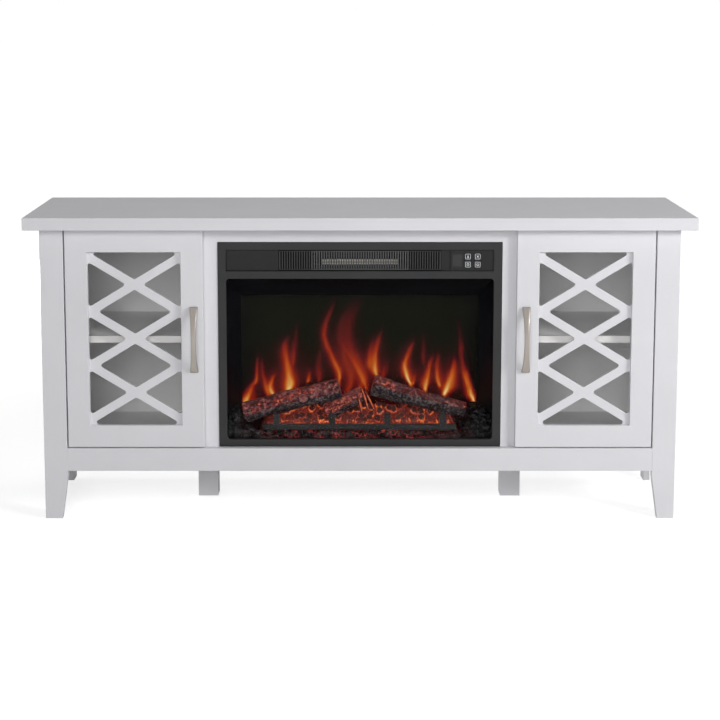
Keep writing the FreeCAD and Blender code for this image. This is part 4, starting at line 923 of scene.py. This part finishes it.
# Heater fins: a strip folded to and fro in front of the heater bar.
fins = {"half": 84.0, "pitch": 4.8, "deep": 3.0, "shallow": 0.6, "sunk": 0.2, "tall": 11.5,
        "lift": 10.0, "enamel": (0.93, 0.88, 0.8)}
low, high = boxOf("heater_element")
count = int(2 * fins["half"] / fins["pitch"] * 4)
x = np.linspace(-fins["half"], fins["half"], count + 1)[:, None]
fold = np.abs((np.arange(count + 1) % 4) - 2)[:, None] / 2
inner, upper = np.array([(0, 0), (0, 1), (1, 1), (1, 0)], float).T
proud = fins["shallow"] + (fins["deep"] - fins["shallow"]) * fold
depth = low[1] - proud * (1 - inner) + fins["sunk"] * inner
tall = low[2] + fins["lift"] + fins["tall"] * (upper - 0.5)
makePiece("heater_fins", closedTube(np.stack(np.broadcast_arrays(x, depth, tall), -1)),
          laminate("finEnamel", fins["enamel"]), smooth=False)

# Outlet guard: round wires across the mouth, behind the slats.
guard = {"half": 112.0, "radius": 0.65, "lines": (-13.0, -4.5, 4.5, 13.0), "stops": 9, "around": 10,
         "behind": 0.7}
low, high = boxOf("heater_grille")
x = np.linspace(-guard["half"], guard["half"], guard["stops"])
section = roundedSection(guard["radius"], guard["radius"], 2, guard["around"])
backward, upright = (np.tile(way, (guard["stops"], 1)) for way in ([0, 1.0, 0], [0, 0, 1.0]))
wires = []
for dz in guard["lines"]:
    depth, tall = high[1] + guard["radius"] * guard["behind"], (low[2] + high[2]) / 2 + dz
    path = np.stack(np.broadcast_arrays(x, depth, tall), -1)
    wires.append(swept(path, backward, upright, section))
makePiece("outlet_guard", joinShells(wires), slats)
print("heater dressed")

# Key signs: line drawings in a rounded square, each a flat stroke carried along its path.
# the ink gives off light at the light level, a painted glow
keySign = {"square": 5.6, "squareness": 7, "stops": 64, "line": 0.62, "raise": 0.12, "sunk": 0.05,
           "glyph": 0.75, "ink": (0.72, 0.74, 0.76), "light": 0.45}


# stroke: a small rectangle carried along a line in the key's face
def signStroke(line, width, closed=False):
    line = np.array(line, float)
    along = unit(np.roll(line, -1, 0) - np.roll(line, 1, 0) if closed else np.gradient(line, axis=0))
    level, half, top, foot = np.zeros(len(line)), width / 2, keySign["raise"], -keySign["sunk"]
    path = np.stack([line[:, 0], level, line[:, 1]], -1)
    across = np.stack([-along[:, 1], level, along[:, 0]], -1)
    outward = np.tile([0, -1.0, 0], (len(line), 1))
    section = np.array([(-half, foot), (half, foot), (half, top), (-half, top)])
    return swept(path, across, outward, section, closed)


def arcLine(radius, start, end, count):
    a = np.radians(np.linspace(start, end, count))
    return np.stack([radius * np.cos(a), radius * np.sin(a)], -1)


# flame: a drop, as a circle whose width closes towards its top; heat: a ring and four rays
glyph = keySign["glyph"]
a = np.linspace(0, 2 * np.pi, 40, endpoint=False)
drop = np.stack([2.0 * np.sin(a) * np.sin(a / 2) ** 1.2, -0.4 + 2.7 * np.cos(a)], -1)
rays = [np.outer(np.linspace(1.5, 3.1, 3), (math.cos(k), math.sin(k)))
        for k in np.radians(np.arange(45, 360, 90))]
keySigns = {
    "flame": [signStroke(drop, glyph, True)],
    "heat": [*(signStroke(ray, glyph) for ray in rays), signStroke(arcLine(0.9, 0, 345, 24), glyph, True)],
    "timer": [signStroke(arcLine(2.7, 0, 352.5, 48), glyph * 0.85, True),
              signStroke([(0, 0), (0, 0.9), (0, 1.8)], glyph * 0.8),
              signStroke([(0, 0), (0.7, -0.5), (1.3, -0.9)], glyph * 0.8)],
    "power": [signStroke(arcLine(2.5, -235, 55, 40), glyph),
              signStroke([(0, 0.6), (0, 1.9), (0, 3.2)], glyph)],
}
square = roundedSection(keySign["square"], keySign["square"], keySign["squareness"], keySign["stops"])
signInk = printWithPaintedGlow("signInk", keySign["ink"], keySign["light"])
for name, strokes in keySigns.items():
    low, high = boxOf(f"{name}_button")
    middle = (low + high) / 2
    points, faces = joinShells([*strokes, signStroke(square[::-1], keySign["line"], True)])
    points = points + np.array([middle[0], low[1], middle[2]])
    makePiece(f"{name}_sign", (points, faces), signInk, body=f"{name}_key", smooth=False)
print("key signs made")

# Floor and light. The floor is white to the eye, and darker only where the object shades it.
# It gives off more light the further away it is, between two distances.
studio = {"floor": 0.78, "floorReach": 40.0, "floorLift": (0.68, 0.95), "liftReach": (1.2, 4.5),
          "ambient": 0.09}
# A lamp is its place, aim, size and power, and whether mirrors show it.
lamps = {
    "keyLamp": ((2.9, -2.25, 1.6), (0, 0, 0.4), (1.25, 0.7), 62.0, True),
    "frontLamp": ((-0.5, -4.6, 1.8), (0, 0, 0.4), (1.9, 2.1), 78.0, False),
    "overLamp": ((0, 0.9, 4.5), (0, 0, 0.6), (2.4, 1.2), 29.0, True),
    "backLamp": ((-1.6, 3.6, 0.45), (0, 0, 0.4), (1.8, 0.35), 45.0, True),
}


# 1 for rays that come from the eye, a mirror or glass, 0 for the rest
def seenRays(r):
    rays = r.add("ShaderNodeLightPath").outputs
    direct = r.math("MAXIMUM", rays["Is Camera Ray"], rays["Is Glossy Ray"])
    return r.math("MAXIMUM", direct, rays["Is Transmission Ray"])


def makeFloor():
    r = Recipe("paleFloor")
    level, reach = studio["floor"], studio["floorReach"]
    r.set(Base_Color=r.ramp(r.noise(2.0), (0.3, (level - 0.01,) * 3), (0.7, (level,) * 3)),
          Roughness=0.9, Specular_IOR_Level=0.0)
    away = r.add("ShaderNodeVectorMath", {"operation": "LENGTH"}, i0=r.place).outputs["Value"]
    lift = r.spread(away, *studio["floorLift"], *studio["liftReach"])
    light = r.add("ShaderNodeEmission", Strength=r.math("MULTIPLY", seenRays(r), lift))
    both = r.add("ShaderNodeAddShader", i0=r.shader.outputs[0], i1=light.outputs[0])
    r.surface(both)
    mesh = bpy.data.meshes.new("floor")
    corners = [(-reach, -reach, 0), (reach, -reach, 0), (reach, reach, 0), (-reach, reach, 0)]
    mesh.from_pydata(corners, [], [(0, 1, 2, 3)])
    mesh.materials.append(r.material)
    floor = addObject("floor", mesh)


# white where it is seen, and only the ambient level where it lights
def makeWorld():
    r = Recipe("studioWhite", "worlds", "Background")
    bpy.context.scene.world = r.material
    r.set(Color=(1, 1, 1, 1), Strength=r.spread(seenRays(r), studio["ambient"], 1.0, 0.0, 1.0))


def makeLamp(name, place, aim, size, power, mirrored):
    lamp = bpy.data.lights.new(name, "AREA")
    lamp.shape = "RECTANGLE"
    lamp.size, lamp.size_y = size
    lamp.energy = power
    holder = addObject(name, lamp)
    holder.location = place
    look = Vector(np.array(aim, float) - np.array(place, float))
    holder.rotation_euler = look.to_track_quat("-Z", "Y").to_euler()
    holder.visible_glossy = mirrored


makeFloor()
makeWorld()
for name, lamp in lamps.items():
    makeLamp(name, *lamp)

# Camera at the photograph's angle: low shift, so that other views stay in the frame.
eye = {"place": (-0.0295, -3.8842, 1.1557), "pitch": 7.94, "sensor": 36.0, "lens": 85.515,
       "shift": (0.0186, -0.17)}
camera = addObject("eye", bpy.data.cameras.new("eye"))
camera.location = eye["place"]
camera.rotation_euler = (math.radians(90 - eye["pitch"]), 0, 0)
camera.data.sensor_width = eye["sensor"]
camera.data.lens = eye["lens"]
camera.data.shift_x, camera.data.shift_y = eye["shift"]
bpy.context.scene.camera = camera
bpy.context.scene.view_settings.view_transform = "Standard"
print("floor, light and camera set")
